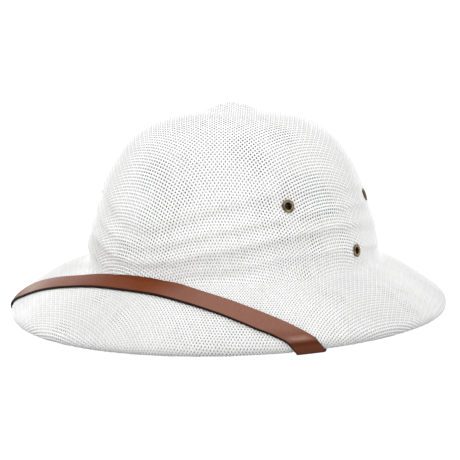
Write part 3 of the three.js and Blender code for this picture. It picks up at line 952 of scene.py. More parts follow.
@dataclass(frozen=True)
class StrawFinish:
    """Pale dried straw, with a faint change of tone from strand to strand and painted shade and light by
    place.
    """

    light: tuple = (0.93, 0.93, 0.928, 1.0)
    # The dull colour is what the random tone and the painted shade both mix towards.
    dull_and_shaded: tuple = (0.55, 0.55, 0.546, 1.0)
    # The below colour is the under layer's outside, painted darker than the strands as shade; the gap colour
    # is painted shade on it and between its strands.
    below: tuple = (0.7, 0.7, 0.698, 1.0)
    gap: tuple = (0.5, 0.5, 0.497, 1.0)
    roughness: float = 0.62
    # The two dark colours are painted shade in the holes; outside, near-black stands for the shaded inside of
    # the helmet.
    dark_outside: tuple = (0.012, 0.012, 0.012, 1.0)
    dark_inside: tuple = (0.3, 0.3, 0.29, 1.0)

    def strands(self) -> bpy.types.Material:
        """Make the finish of the single strands.

        Returns:
            The material.
        """
        material, sheet, shader = new_material("straw_strand")
        fleck = sheet.noise(900.0, 3.0)
        # The tone attribute holds random tone and painted shade and light.
        share = sheet.sum(sheet.attribute("tone"), sheet.spread(fleck, 0.4, 0.75, 0.0, 0.14))
        share = sheet.sum(share, sheet.spread(sheet.noise(60.0), 0.4, 0.7, 0.0, 0.05))
        inputs = {
            "Base Color": sheet.mix(share, self.light, self.dull_and_shaded),
            "Normal": sheet.bump(fleck, 0.00012, 0.5),
            "Roughness": self.roughness,
            "Sheen Weight": 0.1,
        }
        sheet.feed(shader, inputs)
        return material

    def lining(self) -> bpy.types.Material:
        """Make the finish of the under layer, whose open weave lies in step with the upper one in patches,
        with painted shade on its outside, between its strands and in its holes.

        Returns:
            The material.
        """
        material, sheet, shader = new_material("straw_under_layer")
        inside = sheet.attribute("inside")
        opened, rounded, cells = [], [], []
        for place in sheet.parts(sheet.attribute("net", "Vector"))[:2]:
            centre = sheet.math("ABSOLUTE", sheet.rest(sheet.math("FRACT", place), 0.5))
            opened.append(sheet.spread(centre, 0.2, 0.26, 0.0, 1.0))
            rounded.append(sheet.rest(1.0, sheet.product(sheet.math("POWER", centre, 2.0), 5.0)))
            cells.append(sheet.math("FLOOR", place))
        over = sheet.math("MODULO", sheet.sum(sheet.sum(*cells), 1000.0), 2.0)
        strands = [
            sheet.product(sheet.rest(1.0, hole), sheet.sum(crown, lift))
            for hole, crown, lift in zip(opened, rounded, (over, sheet.rest(1.0, over)))
        ]
        height = sheet.math("MAXIMUM", *strands)
        # Painted shade: the outside is darker than the strands, most at the top and down the brim.
        outside = sheet.mix(sheet.attribute("dusk"), self.below, self.gap)
        cloth = sheet.mix(inside, outside, self.light)
        # Painted shade between the strands.
        straw = sheet.mix(sheet.spread(height, 0.4, 2.0, 0.62, 0.0), cloth, self.gap)
        # Painted shade in the holes.
        dark = sheet.mix(inside, self.dark_outside, self.dark_inside)
        inputs = {
            "Base Color": sheet.mix(sheet.product(*opened), straw, dark),
            "Normal": sheet.bump(height, 0.0003, 0.8),
            "Roughness": 0.75,
            "Specular IOR Level": 0.1,
        }
        sheet.feed(shader, inputs)
        return material


@dataclass(frozen=True)
class LeatherFinish:
    """Waxed brown leather with cut dark edges, painted sheen on its flanks, a painted highlight where it
    bends over the rim, painted shade that darkens it towards its ends and a painted shadow along its lower
    edge.
    """

    # The middle colour is the leather's own. The flank and far colours are painted sheen and the bend colour
    # a painted highlight. The streak and ends colours are painted shade where the band turns down past the
    # rim; ends also darkens the grain's creases. The edge colour is the dark cut edge and also a painted
    # shadow along the lower edge.
    middle: tuple = (0.15, 0.028, 0.002, 1.0)
    flank_sheen: tuple = (0.245, 0.112, 0.08, 1.0)
    far: tuple = (0.5, 0.4, 0.34, 1.0)
    bend: tuple = (0.34, 0.2, 0.15, 1.0)
    shade_streak: tuple = (0.075, 0.018, 0.004, 1.0)
    ends: tuple = (0.115, 0.032, 0.015, 1.0)
    edge: tuple = (0.012, 0.006, 0.004, 1.0)

    def make(self) -> bpy.types.Material:
        """Make the finish, which reads the band's own places along and across it and past the rim.

        Returns:
            The material.
        """
        material, sheet, shader = new_material("band_leather")
        along, across, past = sheet.parts(sheet.attribute("strap", "Vector"))
        from_middle = sheet.math("ABSOLUTE", across)
        cloud = sheet.noise(45.0, 3.0)
        fine = sheet.noise(700.0, 3.0)
        cells = {"Vector": sheet.here(), "Scale": 1150.0}
        grain = sheet.node("ShaderNodeTexVoronoi", cells, feature="DISTANCE_TO_EDGE").outputs[0]
        crease = sheet.spread(grain, 0.0, 0.22, 1.0, 0.0)
        # Painted sheen on the flanks, away from the middle.
        painted_sheen_share = sheet.sum(sheet.math("ABSOLUTE", along), sheet.spread(cloud, 0.3, 0.7, -0.05, 0.05))
        past = sheet.sum(past, sheet.spread(cloud, 0.3, 0.7, -0.12, 0.12))
        # Painted sheen at the far left end.
        far = sheet.spread(along, -0.6, -0.4, 1.0, 0.0)
        far = sheet.product(far, sheet.spread(past, -2.0, -0.3, 1.0, 0.0))
        # Painted highlight across the band where it bends over the rim.
        bend = sheet.product(sheet.spread(past, -0.3, 0.1, 0.0, 1.0), sheet.spread(past, 0.4, 0.9, 1.0, 0.0))
        bend = sheet.product(bend, sheet.spread(from_middle, 0.3, 0.85, 1.0, 0.1))
        colour = sheet.layers(
            self.middle,
            (sheet.spread(painted_sheen_share, 0.08, 0.42, 0.0, 1.0), self.flank_sheen),
            (sheet.product(far, 0.5), self.far),
            # Painted shade as the band nears and passes the rim.
            (sheet.spread(past, -1.1, -0.2, 0.0, 0.45), self.ends),
            (sheet.product(bend, 0.75), self.bend),
            (sheet.spread(past, 0.7, 1.4, 0.0, 1.0), self.shade_streak),
            (sheet.spread(past, 1.7, 2.6, 0.0, 1.0), self.ends),
            (sheet.product(crease, 0.35), self.ends),
            (sheet.spread(from_middle, 0.9, 1.0, 0.0, 0.9), self.edge),
            # Painted shadow along the lower edge.
            (sheet.spread(across, -0.96, -0.88, 0.9, 0.0), self.edge),
        )
        height = sheet.sum(sheet.product(crease, -1.0), sheet.product(fine, 0.8))
        inputs = {
            "Base Color": colour,
            "Normal": sheet.bump(height, 0.00015, 0.55),
            "Roughness": sheet.spread(cloud, 0.3, 0.7, 0.36, 0.5),
            "Specular IOR Level": 0.06,
        }
        sheet.feed(shader, inputs)
        return material


@dataclass(frozen=True)
class BrassFinish:
    """Aged brass, brown in its hollows and bright on the ring's crest, where wear and a painted highlight
    lighten it.
    """

    rubbed_and_highlight: tuple = (0.36, 0.27, 0.15, 1.0)
    aged: tuple = (0.1, 0.065, 0.036, 1.0)

    def make(self) -> bpy.types.Material:
        """Make the finish from its tarnish and fine scratches.

        Returns:
            The material.
        """
        material, sheet, shader = new_material("eyelet_brass")
        tarnish = sheet.noise(420.0, 4.0)
        # The crest is lighter: worn brass and a painted highlight.
        rub = sheet.product(sheet.attribute("rub"), 0.6)
        share = sheet.rest(sheet.spread(tarnish, 0.32, 0.68, 0.5, 1.3), rub)
        inputs = {
            "Base Color": sheet.mix(share, self.rubbed_and_highlight, self.aged),
            "Roughness": sheet.spread(tarnish, 0.3, 0.7, 0.28, 0.55),
            "Normal": sheet.bump(sheet.noise(2400.0), 0.00005, 0.4),
            "Metallic": 0.9,
        }
        sheet.feed(shader, inputs)
        return material


def mesh_object(name: str, points: np.ndarray, edges: Iterable, faces: Iterable) -> bpy.types.Object:
    """Make an object at the origin from points in millimetres.

    Args:
        name: The object's name.
        points: One point a row.
        edges: Pairs of points.
        faces: Rings of points.

    Returns:
        The new object, linked to the scene.
    """
    mesh = bpy.data.meshes.new(name)
    mesh.from_pydata((np.asarray(points) * MM).tolist(), edges, faces)
    mesh.update()
    made = bpy.data.objects.new(name, mesh)
    bpy.context.scene.collection.objects.link(made)
    return made


def store(piece: bpy.types.Object, name: str, values: np.ndarray) -> None:
    """Store a number or a vector at each point of a piece, as an attribute of its mesh.

    Args:
        piece: The piece.
        name: The attribute's name.
        values: One number or one vector a point.
    """
    kind, key = ("FLOAT_VECTOR", "vector") if values.ndim == 2 else ("FLOAT", "value")
    piece.data.attributes.new(name, kind, "POINT").data.foreach_set(key, values.astype(np.float32).ravel())


def settle(piece: bpy.types.Object, smooth: bool = True) -> bpy.types.Object:
    """Turn a piece with modifiers into a plain mesh of its own.

    Args:
        piece: The piece with its modifiers.
        smooth: Whether its faces are shaded smoothly.

    Returns:
        The same piece, with the finished mesh and no modifiers.
    """
    graph = bpy.context.evaluated_depsgraph_get()
    graph.update()
    old = piece.data
    piece.data = bpy.data.meshes.new_from_object(piece.evaluated_get(graph))
    piece.modifiers.clear()
    bpy.data.meshes.remove(old)
    piece.data.name = piece.name
    piece.data.polygons.foreach_set("use_smooth", [smooth] * len(piece.data.polygons))
    return piece


@dataclass
class GeometryRecipe:
    """A tree of geometry nodes with named inputs."""

    name: str
    tree: bpy.types.NodeTree = field(init=False)
    sheet: NodeSheet = field(init=False)
    keys: dict = field(init=False, default_factory=dict)
    start: bpy.types.Node | None = field(init=False, default=None)

    def __post_init__(self) -> None:
        """Start the tree with its geometry sockets."""
        self.tree = bpy.data.node_groups.new(self.name, "GeometryNodeTree")
        self.tree.interface.new_socket("Geometry", in_out="INPUT", socket_type="NodeSocketGeometry")
        self.tree.interface.new_socket("Geometry", in_out="OUTPUT", socket_type="NodeSocketGeometry")
        self.sheet = NodeSheet(self.tree)

    def ask(self, name: str, kind: str) -> None:
        """Add a named input."""
        self.keys[name] = self.tree.interface.new_socket(name, in_out="INPUT", socket_type=kind).identifier

    def read(self, name: str) -> bpy.types.NodeSocket:
        """Give the socket of a named input, or of the geometry.

        Args:
            name: The input's name.

        Returns:
            The socket that gives its value.
        """
        if self.start is None:
            self.start = self.tree.nodes.new("NodeGroupInput")
        return self.start.outputs[name]

    def finish(self, geometry: bpy.types.NodeSocket, material: str) -> None:
        """Realize the instances, set the material and close the tree.

        Args:
            geometry: What the tree has made.
            material: The name of the input that gives its material.
        """
        real = self.sheet.node("GeometryNodeRealizeInstances", {0: geometry}).outputs[0]
        inputs = {"Geometry": real, "Material": self.read(material)}
        dressed = self.sheet.node("GeometryNodeSetMaterial", inputs).outputs[0]
        self.sheet.node("NodeGroupOutput", {0: dressed})

    def apply(self, piece: bpy.types.Object, **values: object) -> bpy.types.Object:
        """Run the tree on a piece and keep the plain mesh it gives.

        Args:
            piece: The piece to run it on.
            values: The inputs' values, by name with underscores for spaces.

        Returns:
            The piece with its finished mesh.
        """
        modifier = piece.modifiers.new(self.name, "NODES")
        modifier.node_group = self.tree
        for name, value in values.items():
            modifier[self.keys[name.replace("_", " ")]] = value
        return settle(piece)


@dataclass
class WovenCloth:
    """The outer layer of open plain weave, each strand drawn over and under those it crosses."""

    form: HelmetForm
    net: ClothNet
    strand_width: float = 1.42
    strand_thickness: float = 0.42
    wave: float = 0.15
    depth: float = 0.24
    hole_radius: float = 3.1
    patch_opening: float = 0.4
    brim_opening: float = 0.32
    top_closing: float = 0.2
    top_calming: float = 0.85
    top_rows: tuple = (3.5, 7.5)
    tone_range: float = 0.12
    tone_seed: int = 11
    size_seed: int = 3
    first_weft: int = 400

    def recipe(self) -> GeometryRecipe:
        """Make the tree that turns lines of crossings into flat round-backed strands.

        Returns:
            The tree.
        """
        made = GeometryRecipe("plain_weave_strands")
        for name in ("Strand width", "Strand thickness", "Wave height"):
            made.ask(name, "NodeSocketFloat")
        made.ask("Seed", "NodeSocketInt")
        made.ask("Straw", "NodeSocketMaterial")
        sheet = made.sheet
        up = sheet.stored("up", "FLOAT_VECTOR")
        rise = sheet.product(sheet.stored("over"), made.read("Wave height"))
        offset = sheet.node("ShaderNodeVectorMath", {0: up, "Scale": rise}, operation="SCALE").outputs[0]
        inputs = {"Geometry": made.read("Geometry"), "Offset": offset}
        waved = sheet.node("GeometryNodeSetPosition", inputs).outputs[0]
        line = sheet.node("GeometryNodeMeshToCurve", {0: waved}).outputs[0]
        turned = sheet.node("GeometryNodeSetCurveNormal", {0: line, "Normal": up}, mode="FREE").outputs[0]
        inputs = {"Min": 0.92, "Max": 1.07, "ID": sheet.stored("strand"), "Seed": made.read("Seed")}
        size = sheet.node("FunctionNodeRandomValue", inputs, data_type="FLOAT")
        chosen = [socket for socket in size.outputs if socket.enabled and socket.type == "VALUE"][0]
        inputs = {0: turned, "Radius": sheet.product(chosen, sheet.stored("slim"))}
        turned = sheet.node("GeometryNodeSetCurveRadius", inputs).outputs[0]
        half = sheet.product(made.read("Strand width"), 0.5)
        inputs = {"Width": made.read("Strand thickness"), "Bottom Height": half, "Top Height": half}
        profile = sheet.node("GeometryNodeCurvePrimitiveQuadrilateral", inputs, mode="KITE").outputs[0]
        inputs = {0: turned, "Profile Curve": profile, "Fill Caps": True}
        made.finish(sheet.node("GeometryNodeCurveToMesh", inputs).outputs[0], "Straw")
        return made

    def _covered(self, place: np.ndarray) -> np.ndarray:
        """Say which crossings are on the helmet and clear of its eyelets.

        Args:
            place: The crossings' places.

        Returns:
            True or false for each crossing.
        """
        form, net = self.form, self.net
        ends = np.append(net.end, net.end[0])
        end = np.interp(net.turn / FULL_TURN % 1.0 * form.turns, np.arange(form.turns + 1), ends)
        inside = net.length < end
        for centre, _ in form.spots:
            inside &= np.linalg.norm(place - centre, axis=-1) > self.hole_radius
        return inside

    def build(self, material: bpy.types.Material) -> list:
        """Draw all strands.

        Args:
            material: The straw.

        Returns:
            One piece for each family of strands on the crown and on the brim.
        """
        form, net = self.form, self.net
        column = net.column(net.turn, net.length)
        up = form.up(net.turn, column)
        place = form.at(net.turn, column) - self.depth * up
        inside = self._covered(place)
        on_brim = column > form.foot_row * form.steps
        count = len(place)
        rows, columns = np.meshgrid(np.arange(count), np.arange(count), indexing="ij")
        number = rows * count + columns
        row = column / form.steps
        at_top = 1.0 - smoothstep(row, *self.top_rows)
        brim_share = smoothstep(row, form.foot_row - 1.0, form.foot_row + 1.5)
        in_step = OpenPatches().share(np.stack([rows, columns], axis=-1) - net.half)
        slim = 1.0 - self.patch_opening * in_step - self.brim_opening * brim_share + self.top_closing * at_top
        over = np.where((rows + columns) % 2 == 0, 1.0, -1.0) * (1.0 - self.top_calming * at_top)
        # Painted shade and light on the straw, by place.
        shade = form.shade(net.turn, column)
        tones = self.tone_range * np.random.default_rng(self.tone_seed).random(1000) ** 2
        recipe = self.recipe()
        pieces = []
        for strand in Strand:
            warp = strand is Strand.WARP
            before, after, every = slice(None, -1), slice(1, None), slice(None)
            first, second = ((before, every), (after, every)) if warp else ((every, before), (every, after))
            joined = inside[first] & inside[second]
            brim = on_brim[first] & on_brim[second]
            line = columns if warp else rows + self.first_weft
            for zone in Zone:
                pick = joined & (brim if zone is Zone.BRIM else ~brim)
                ends = np.concatenate([number[first][pick], number[second][pick]])
                used, index = np.unique(ends, return_inverse=True)
                name = f"straw_{strand.name.lower()}_{zone.value}"
                points = place.reshape(-1, 3)[used]
                piece = mesh_object(name, points, index.reshape(2, -1).T.tolist(), [])
                ids = line.ravel()[used]
                store(piece, "up", up.reshape(-1, 3)[used])
                store(piece, "over", (1.0 if warp else -1.0) * over.ravel()[used])
                store(piece, "strand", ids)
                # The tone attribute holds each strand's random tone plus the painted shade and light.
                store(piece, "tone", tones[ids] + shade.ravel()[used])
                store(piece, "slim", slim.ravel()[used])
                recipe.apply(
                    piece,
                    Strand_width=self.strand_width * MM,
                    Strand_thickness=self.strand_thickness * MM,
                    Wave_height=self.wave * MM,
                    Seed=self.size_seed,
                    Straw=material,
                )
                pieces.append(piece)
        return pieces


@dataclass
class UnderLayer:
    """The closed wall under the outer strands: the second cloth outside, the cloth's back inside."""

    form: HelmetForm
    net: ClothNet
    sides: int = 180
    every: int = 3
    depth: float = 0.66
    gap: float = 0.42
    sight: tuple = (0.557, -0.816, 0.153)
    drift: float = 0.16
    overlap: float = 0.14
    hole_radius: float = 3.2
    hole_sides: int = 32
    hole_reach: float = 8.0

    def build(self, finish: StrawFinish) -> bpy.types.Object:
        """Lay the closed wall and cut the six holes.

        Args:
            finish: The straw finish.

        Returns:
            The finished piece.
        """
        form = self.form
        last = form.table.shape[1] - 1
        kept = np.unique(np.append(np.arange(0, last, self.every), last))[1:-1]
        turn = np.arange(self.sides) * FULL_TURN / self.sides
        turns, columns = np.meshgrid(turn, kept.astype(float), indexing="ij")
        hem = (form.hem_end_row - 1) * form.steps
        inset = self.depth * (1.0 - smoothstep(columns, hem - 4, hem + 2))
        wall = form.at(turns, columns) - inset[..., None] * form.read(form.normals, turns, columns)
        top, bottom = form.table[0, 0] - (0, 0, self.depth), form.table[0, -1]
        points = np.concatenate([[top], wall.reshape(-1, 3), [bottom]])
        rings = len(kept)
        faces = grid_faces((self.sides, rings), (True, False), start=1)
        for i in range(self.sides):
            here, there = 1 + i * rings, 1 + (i + 1) % self.sides * rings
            faces.append((0, here, there))
            faces.append((here + rings - 1, len(points) - 1, there + rings - 1))
        piece = mesh_object("straw_under_layer", points, [], faces)
        outside = columns <= hem
        place = self._net_places(turns, columns, outside)
        row = columns / form.steps
        # Painted shade on the under layer's outside: darker at the top and from the crown's foot down.
        dusk = 0.6 - 0.6 * smoothstep(row, 4.0, 7.0) + smoothstep(row, form.foot_row, form.foot_row + 2.0)
        store(piece, "net", np.pad(place.reshape(-1, 2), ((1, 1), (0, 1))))
        store(piece, "inside", np.concatenate([[0.0], ~outside.ravel(), [1.0]]))
        store(piece, "dusk", np.concatenate([[1.0], dusk.ravel(), [0.0]]))
        piece.data.materials.append(finish.lining())
        self._cut_holes(piece)
        return settle(piece)

    def _net_places(self, turn: np.ndarray, column: np.ndarray, outside: np.ndarray) -> np.ndarray:
        """Find where points of the layer lie in its own net, counted in strands.

        Args:
            turn: Turns from the front, in radians.
            column: Columns of the form's table.
            outside: Whether they lie outside.

        Returns:
            Two numbers a point. Inside, the net is laid as if the wall's length there were that outside.
        """
        form = self.form

        def length_at(spot: float) -> np.ndarray:
            """Give the length down the wall to one column, at each turn."""
            return form.read(form.lengths, turn, np.full_like(column, spot))

        length = form.read(form.lengths, turn, column)
        begin = (form.hem_end_row + 1) * form.steps
        full = length_at(form.table.shape[1] - 1)
        inner = length_at(form.rim_row * form.steps) * (full - length) / (full - length_at(begin))
        length = np.where(column > begin, inner, length)
        place = self.net.coordinates(*self._looked_through(turn, column, length, outside))
        return place + np.where(outside[..., None], 0.5 * self._in_step(place), 0.0)

    def _looked_through(
        self, turn: np.ndarray, column: np.ndarray, length: np.ndarray, outside: np.ndarray
    ) -> tuple:
        """Find the places of the upper cloth through which spots of the layer are seen along the sight line.

        Args:
            turn: Turns of the spots.
            column: Their columns.
            length: Their lengths down the wall.
            outside: Whether they lie outside.

        Returns:
            The turns and lengths of the places in the upper cloth.
        """
        form = self.form
        normal, sight = form.up(turn, column), unit(np.array(self.sight))
        rise = normal @ sight
        shift = (sight - rise[..., None] * normal) / np.maximum(rise, 0.3)[..., None] * self.gap
        shift = shift * (outside * smoothstep(rise, -0.1, 0.15))[..., None]
        down = form.at(turn, column + 0.4) - form.at(turn, column - 0.4)
        aside, along = split_move(shift, form.around(turn, column), unit(down))
        return turn + aside, length + along

    def _in_step(self, place: np.ndarray) -> np.ndarray:
        """Say how far the two layers' holes lie in step, from nought to one, at places in the net.

        Args:
            place: Places in the net, counted in strands.

        Returns:
            One share for each of the two families of strands.
        """
        share = OpenPatches().share(place)[..., None]
        drift = np.sin(place / 5.3 + (0.4, 1.9)) * np.cos(place[..., ::-1] / 7.1 + (2.2, 0.3))
        return share + self.drift * drift + self.overlap

    def _cut_holes(self, piece: bpy.types.Object) -> None:
        """Cut the eyelets' holes through the wall.

        Args:
            piece: The layer.
        """
        sides = self.hole_sides
        points, faces = [], []
        for centre, way in self.form.spots:
            turned = Vector((0, 0, 1)).rotation_difference(Vector(way)).to_matrix()
            start = len(points)
            for level in (-self.hole_reach, self.hole_reach):
                for k in range(sides):
                    angle = FULL_TURN * k / sides
                    x, y = self.hole_radius * math.cos(angle), self.hole_radius * math.sin(angle)
                    points.append(tuple(Vector(centre) + turned @ Vector((x, y, level))))
            faces += grid_faces((2, sides), (False, True), start)
            faces.append(tuple(start + k for k in reversed(range(sides))))
            faces.append(tuple(start + sides + k for k in range(sides)))
        cutter = mesh_object("hole_cutter", np.array(points), [], faces)
        cut = piece.modifiers.new("holes", "BOOLEAN")
        cut.operation, cut.object, cut.solver = "DIFFERENCE", cutter, "MANIFOLD"
        settle(piece)
        bpy.data.objects.remove(cutter)


@dataclass
class LeatherBand:
    """The leather band over the front of the brim, wrapped round the hem on both sides."""

    form: HelmetForm
    width: float = 16.9
    taper: float = 2.2
    clearance: float = 0.42
    thickness: float = 1.46
    tail: float = 10.0
    crossing: float = 45.0
    stations: int = 44
    skew_start: float = 0.5
    taper_shares: tuple = (0.08, 0.62)
    tail_steps: int = 8
    strides: int = 20
    line: tuple = (
        (0, 0.115), (8, 0.13), (15, 0.18), (24, 0.315), (34, 0.515), (43.5, 0.745), (50, 0.91), (53, 1),
    )
    section: tuple = (
        (-1, 0.0), (-1, 0.42), (-0.985, 0.78), (-0.945, 0.97), (-0.84, 1.0), (-0.62, 1.0), (-0.4, 1.0),
        (-0.2, 1.0), (0, 1.0), (0.2, 1.0), (0.4, 1.0), (0.62, 1.0), (0.84, 1.0), (0.945, 0.97),
        (0.985, 0.78), (1, 0.42), (1, 0.0), (0.62, 0.0), (0.2, 0.0), (-0.2, 0.0), (-0.62, 0.0),
    )

    def _middle(self) -> np.ndarray:
        """Lay one half of the band's middle line: over the brim, round the hem and up inside it.

        Returns:
            Turn, column and skew of each station, one a row.
        """
        form = self.form
        rows = [(-self.line[1][0], self.line[1][1]), *self.line]
        points = [np.array(row, dtype=float) for row in rows]
        points = [*points, 2 * points[-1] - points[-2]]
        runs = (0.0, *form.brim_runs, 1.0)
        stations = []
        for share in np.linspace(0.0, 1.0, self.stations):
            place = 1.0 + share * (len(rows) - 2)
            i = min(int(place), len(rows) - 2)
            a, b, c, d = points[i - 1 : i + 3]
            da, db, dc = (np.linalg.norm(q - p) ** 0.5 for p, q in ((a, b), (b, c), (c, d)))
            start = ((b - a) / da - (c - a) / (da + db) + (c - b) / db) * db
            end = ((c - b) / db - (d - b) / (db + dc) + (d - c) / dc) * db
            u = place - i
            move = 3 * (c - b) - 2 * start - end
            angle, run = b + start * u + move * u**2 + (2 * (b - c) + start + end) * u**3
            row = form.foot_row + np.interp(run, runs, np.arange(len(runs)))
            skew = float(smoothstep(np.array(share), self.skew_start, 1.0))
            stations.append((math.radians(angle), row * form.steps, skew))
        turn, column, _ = stations[-1]

        def step(to: float) -> None:
            """Carry the line on to a column at the angle of the crossing.

            Args:
                to: The column.
            """
            nonlocal turn, column
            fall = np.linalg.norm(form.at(turn, to) - form.at(turn, column))
            turn += fall / math.tan(math.radians(self.crossing)) / np.linalg.norm(form.around(turn, column))
            column = to
            stations.append((turn, column, 1.0))

        end_column = form.hem_end_row * form.steps
        for to in np.arange(form.rim_row * form.steps + 2, end_column + 1, 2):
            step(float(to))
        depth = np.linalg.norm(form.at(turn, end_column + form.steps) - form.at(turn, end_column))
        climb = self.tail * math.sin(math.radians(self.crossing)) / depth * form.steps
        for k in range(1, self.tail_steps + 1):
            step(end_column + climb * k / self.tail_steps)
        return np.array(stations)

    def _walk(self, turn: np.ndarray, column: np.ndarray, way: np.ndarray) -> tuple:
        """Walk straight over the wall, all spots at once.

        Args:
            turn: Starting turns.
            column: Starting columns.
            way: Directions, as long as the walks in millimetres.

        Returns:
            The turns and columns reached.
        """
        form = self.form
        size = np.linalg.norm(way, axis=-1, keepdims=True)
        heading = way / np.maximum(size, 1e-9)
        for _ in range(self.strides):
            down = (form.at(turn, column + 0.3) - form.at(turn, column - 0.3)) / 0.6
            before = form.at(turn, column)
            aside, along = split_move(heading * size / self.strides, form.around(turn, column), down)
            turn, column = turn + aside, column + along
            moved = form.at(turn, column) - before
            up = form.up(turn, column)
            flat = moved - (moved * up).sum(-1, keepdims=True) * up
            heading = np.where(size > 1e-6, unit(flat), heading)
        return turn, column

    def _reach(self, share: np.ndarray, side: np.ndarray, along: np.ndarray) -> np.ndarray:
        """Give how far the band reaches to each side of its middle line.

        Args:
            share: Shares of the way from its middle to its ends.
            side: Directions across it.
            along: Directions along it.

        Returns:
            Half its width, measured on the slant, in one column.
        """
        width = self.width + self.taper * (1.0 - 2.0 * smoothstep(np.abs(share), *self.taper_shares))
        reach = 0.5 * width / np.linalg.norm(np.cross(side, unit(along)), axis=-1)
        soft = np.hanning(11)[1:-1] / np.hanning(11).sum()
        return np.convolve(np.pad(reach, 4, mode="edge"), soft, mode="valid")[:, None]

    def build(self, material: bpy.types.Material) -> bpy.types.Object:
        """Lay the band and close it.

        Args:
            material: The leather.

        Returns:
            The finished piece.
        """
        form = self.form
        half = self._middle()
        line = np.concatenate([half[1:][::-1] * (-1, 1, 1), half])
        turn, column, skew = line[:, 0], line[:, 1], line[:, 2:]
        points = form.at(turn, column)
        along = np.empty_like(points)
        along[1:-1] = points[2:] - points[:-2]
        along[0], along[-1] = points[1] - points[0], points[-1] - points[-2]
        square = unit(np.cross(form.up(turn, column), along))
        around = form.around(turn, column)
        sign = np.sign((around * square).sum(-1, keepdims=True))
        side = unit(square * (1 - skew) + sign * unit(around) * skew)
        travelled = np.concatenate([[0], np.cumsum(np.linalg.norm(np.diff(points, axis=0), axis=-1))])
        share = 2 * travelled / travelled[-1] - 1
        reach = self._reach(share, side, along)
        on_hem = skew[:, 0] >= 1.0
        spots, reached = {}, {}
        for level in sorted({place for place, _ in self.section}):
            a, b = self._walk(turn, column, side * reach * level)
            straight = turn + (reach * level * sign)[:, 0] / np.linalg.norm(around, axis=-1)
            a, b = np.where(on_hem, straight, a), np.where(on_hem, column, b)
            spots[level], reached[level] = (form.at(a, b), form.up(a, b)), b
        raised = [spots[s][0] + spots[s][1] * (self.clearance + self.thickness * h) for s, h in self.section]
        rings = np.stack(raised, axis=1)
        count, sides = rings.shape[:2]
        faces = grid_faces((count, sides), (False, True))
        faces.append(tuple(reversed(range(sides))))
        faces.append(tuple((count - 1) * sides + j for j in range(sides)))
        piece = mesh_object("leather_band", rings.reshape(-1, 3), [], faces)
        strap = np.zeros((count, sides, 3))
        strap[..., 0] = share[:, None]
        strap[..., 1] = np.array([s for s, _ in self.section])
        strap[..., 2] = np.stack([reached[s] for s, _ in self.section], axis=1) / form.steps - form.rim_row
        store(piece, "strap", strap.reshape(-1, 3))
        piece.data.materials.append(material)
        piece.data.polygons.foreach_set("use_smooth", [True] * len(piece.data.polygons))
        return piece


@dataclass
class VentEyelets:
    """Six brass rings, each with a rounded flange outside the wall and a washer inside it."""

    form: HelmetForm
    bore: float = 2.5
    barrel: float = 0.6
    flange: float = 4.4
    lip: float = 0.12
    washer: float = 4.3
    seat: float = 0.25
    thickness: float = 0.85
    sides: int = 48
    crown_steps: int = 11

    def _ring(self) -> bpy.types.Object:
        """Turn the ring's section about +Z, once, as the shape that is set six times.

        Returns:
            The ring.
        """
        top, under = self.seat + self.thickness, -self.form.wall - self.seat
        low, wall = under - self.thickness, self.bore + self.barrel
        half = 0.5 * (self.flange - self.bore)
        section = [(self.bore, low), (self.washer, low), (self.washer, under), (wall, under)]
        section += [(wall, self.seat), (self.flange - self.lip, self.seat)]
        # A light band on the crest: worn brass and a painted highlight.
        rub = [0.0] * len(section)
        for k, angle in enumerate(np.linspace(math.pi / 2, -math.pi / 2, self.crown_steps)):
            lift = self.seat + self.thickness * (0.3 + 0.7 * max(math.cos(angle), 0.0) ** 0.75)
            section.append((self.bore + half * (1 + math.sin(angle)), min(lift, top)))
            rub.append(math.exp(-(((k - 6.5) / 2.2) ** 2)))
        points = []
        for k in range(self.sides):
            angle = FULL_TURN * k / self.sides
            points += [(r * math.cos(angle), r * math.sin(angle), z) for r, z in section]
        faces = grid_faces((self.sides, len(section)), (True, True), flip=True)
        ring = mesh_object("eyelet_ring", np.array(points), [], faces)
        store(ring, "rub", np.array(rub * self.sides))
        return ring

    def build(self, material: bpy.types.Material) -> bpy.types.Object:
        """Set a ring in each hole.

        Args:
            material: The brass.

        Returns:
            The six rings as one piece.
        """
        recipe = GeometryRecipe("set_eyelets")
        recipe.ask("Ring", "NodeSocketObject")
        recipe.ask("Brass", "NodeSocketMaterial")
        sheet = recipe.sheet
        ring = sheet.node("GeometryNodeObjectInfo", {"Object": recipe.read("Ring")}).outputs["Geometry"]
        facing = sheet.node(
            "FunctionNodeAlignRotationToVector", {"Vector": sheet.stored("up", "FLOAT_VECTOR")}, axis="Z"
        ).outputs[0]
        inputs = {"Points": recipe.read("Geometry"), "Instance": ring, "Rotation": facing}
        recipe.finish(sheet.node("GeometryNodeInstanceOnPoints", inputs).outputs[0], "Brass")
        piece = mesh_object("brass_eyelets", np.array([centre for centre, _ in self.form.spots]), [], [])
        store(piece, "up", np.array([way for _, way in self.form.spots]))
        shape = self._ring()
        recipe.apply(piece, Ring=shape, Brass=material)
        bpy.data.objects.remove(shape)
        return piece


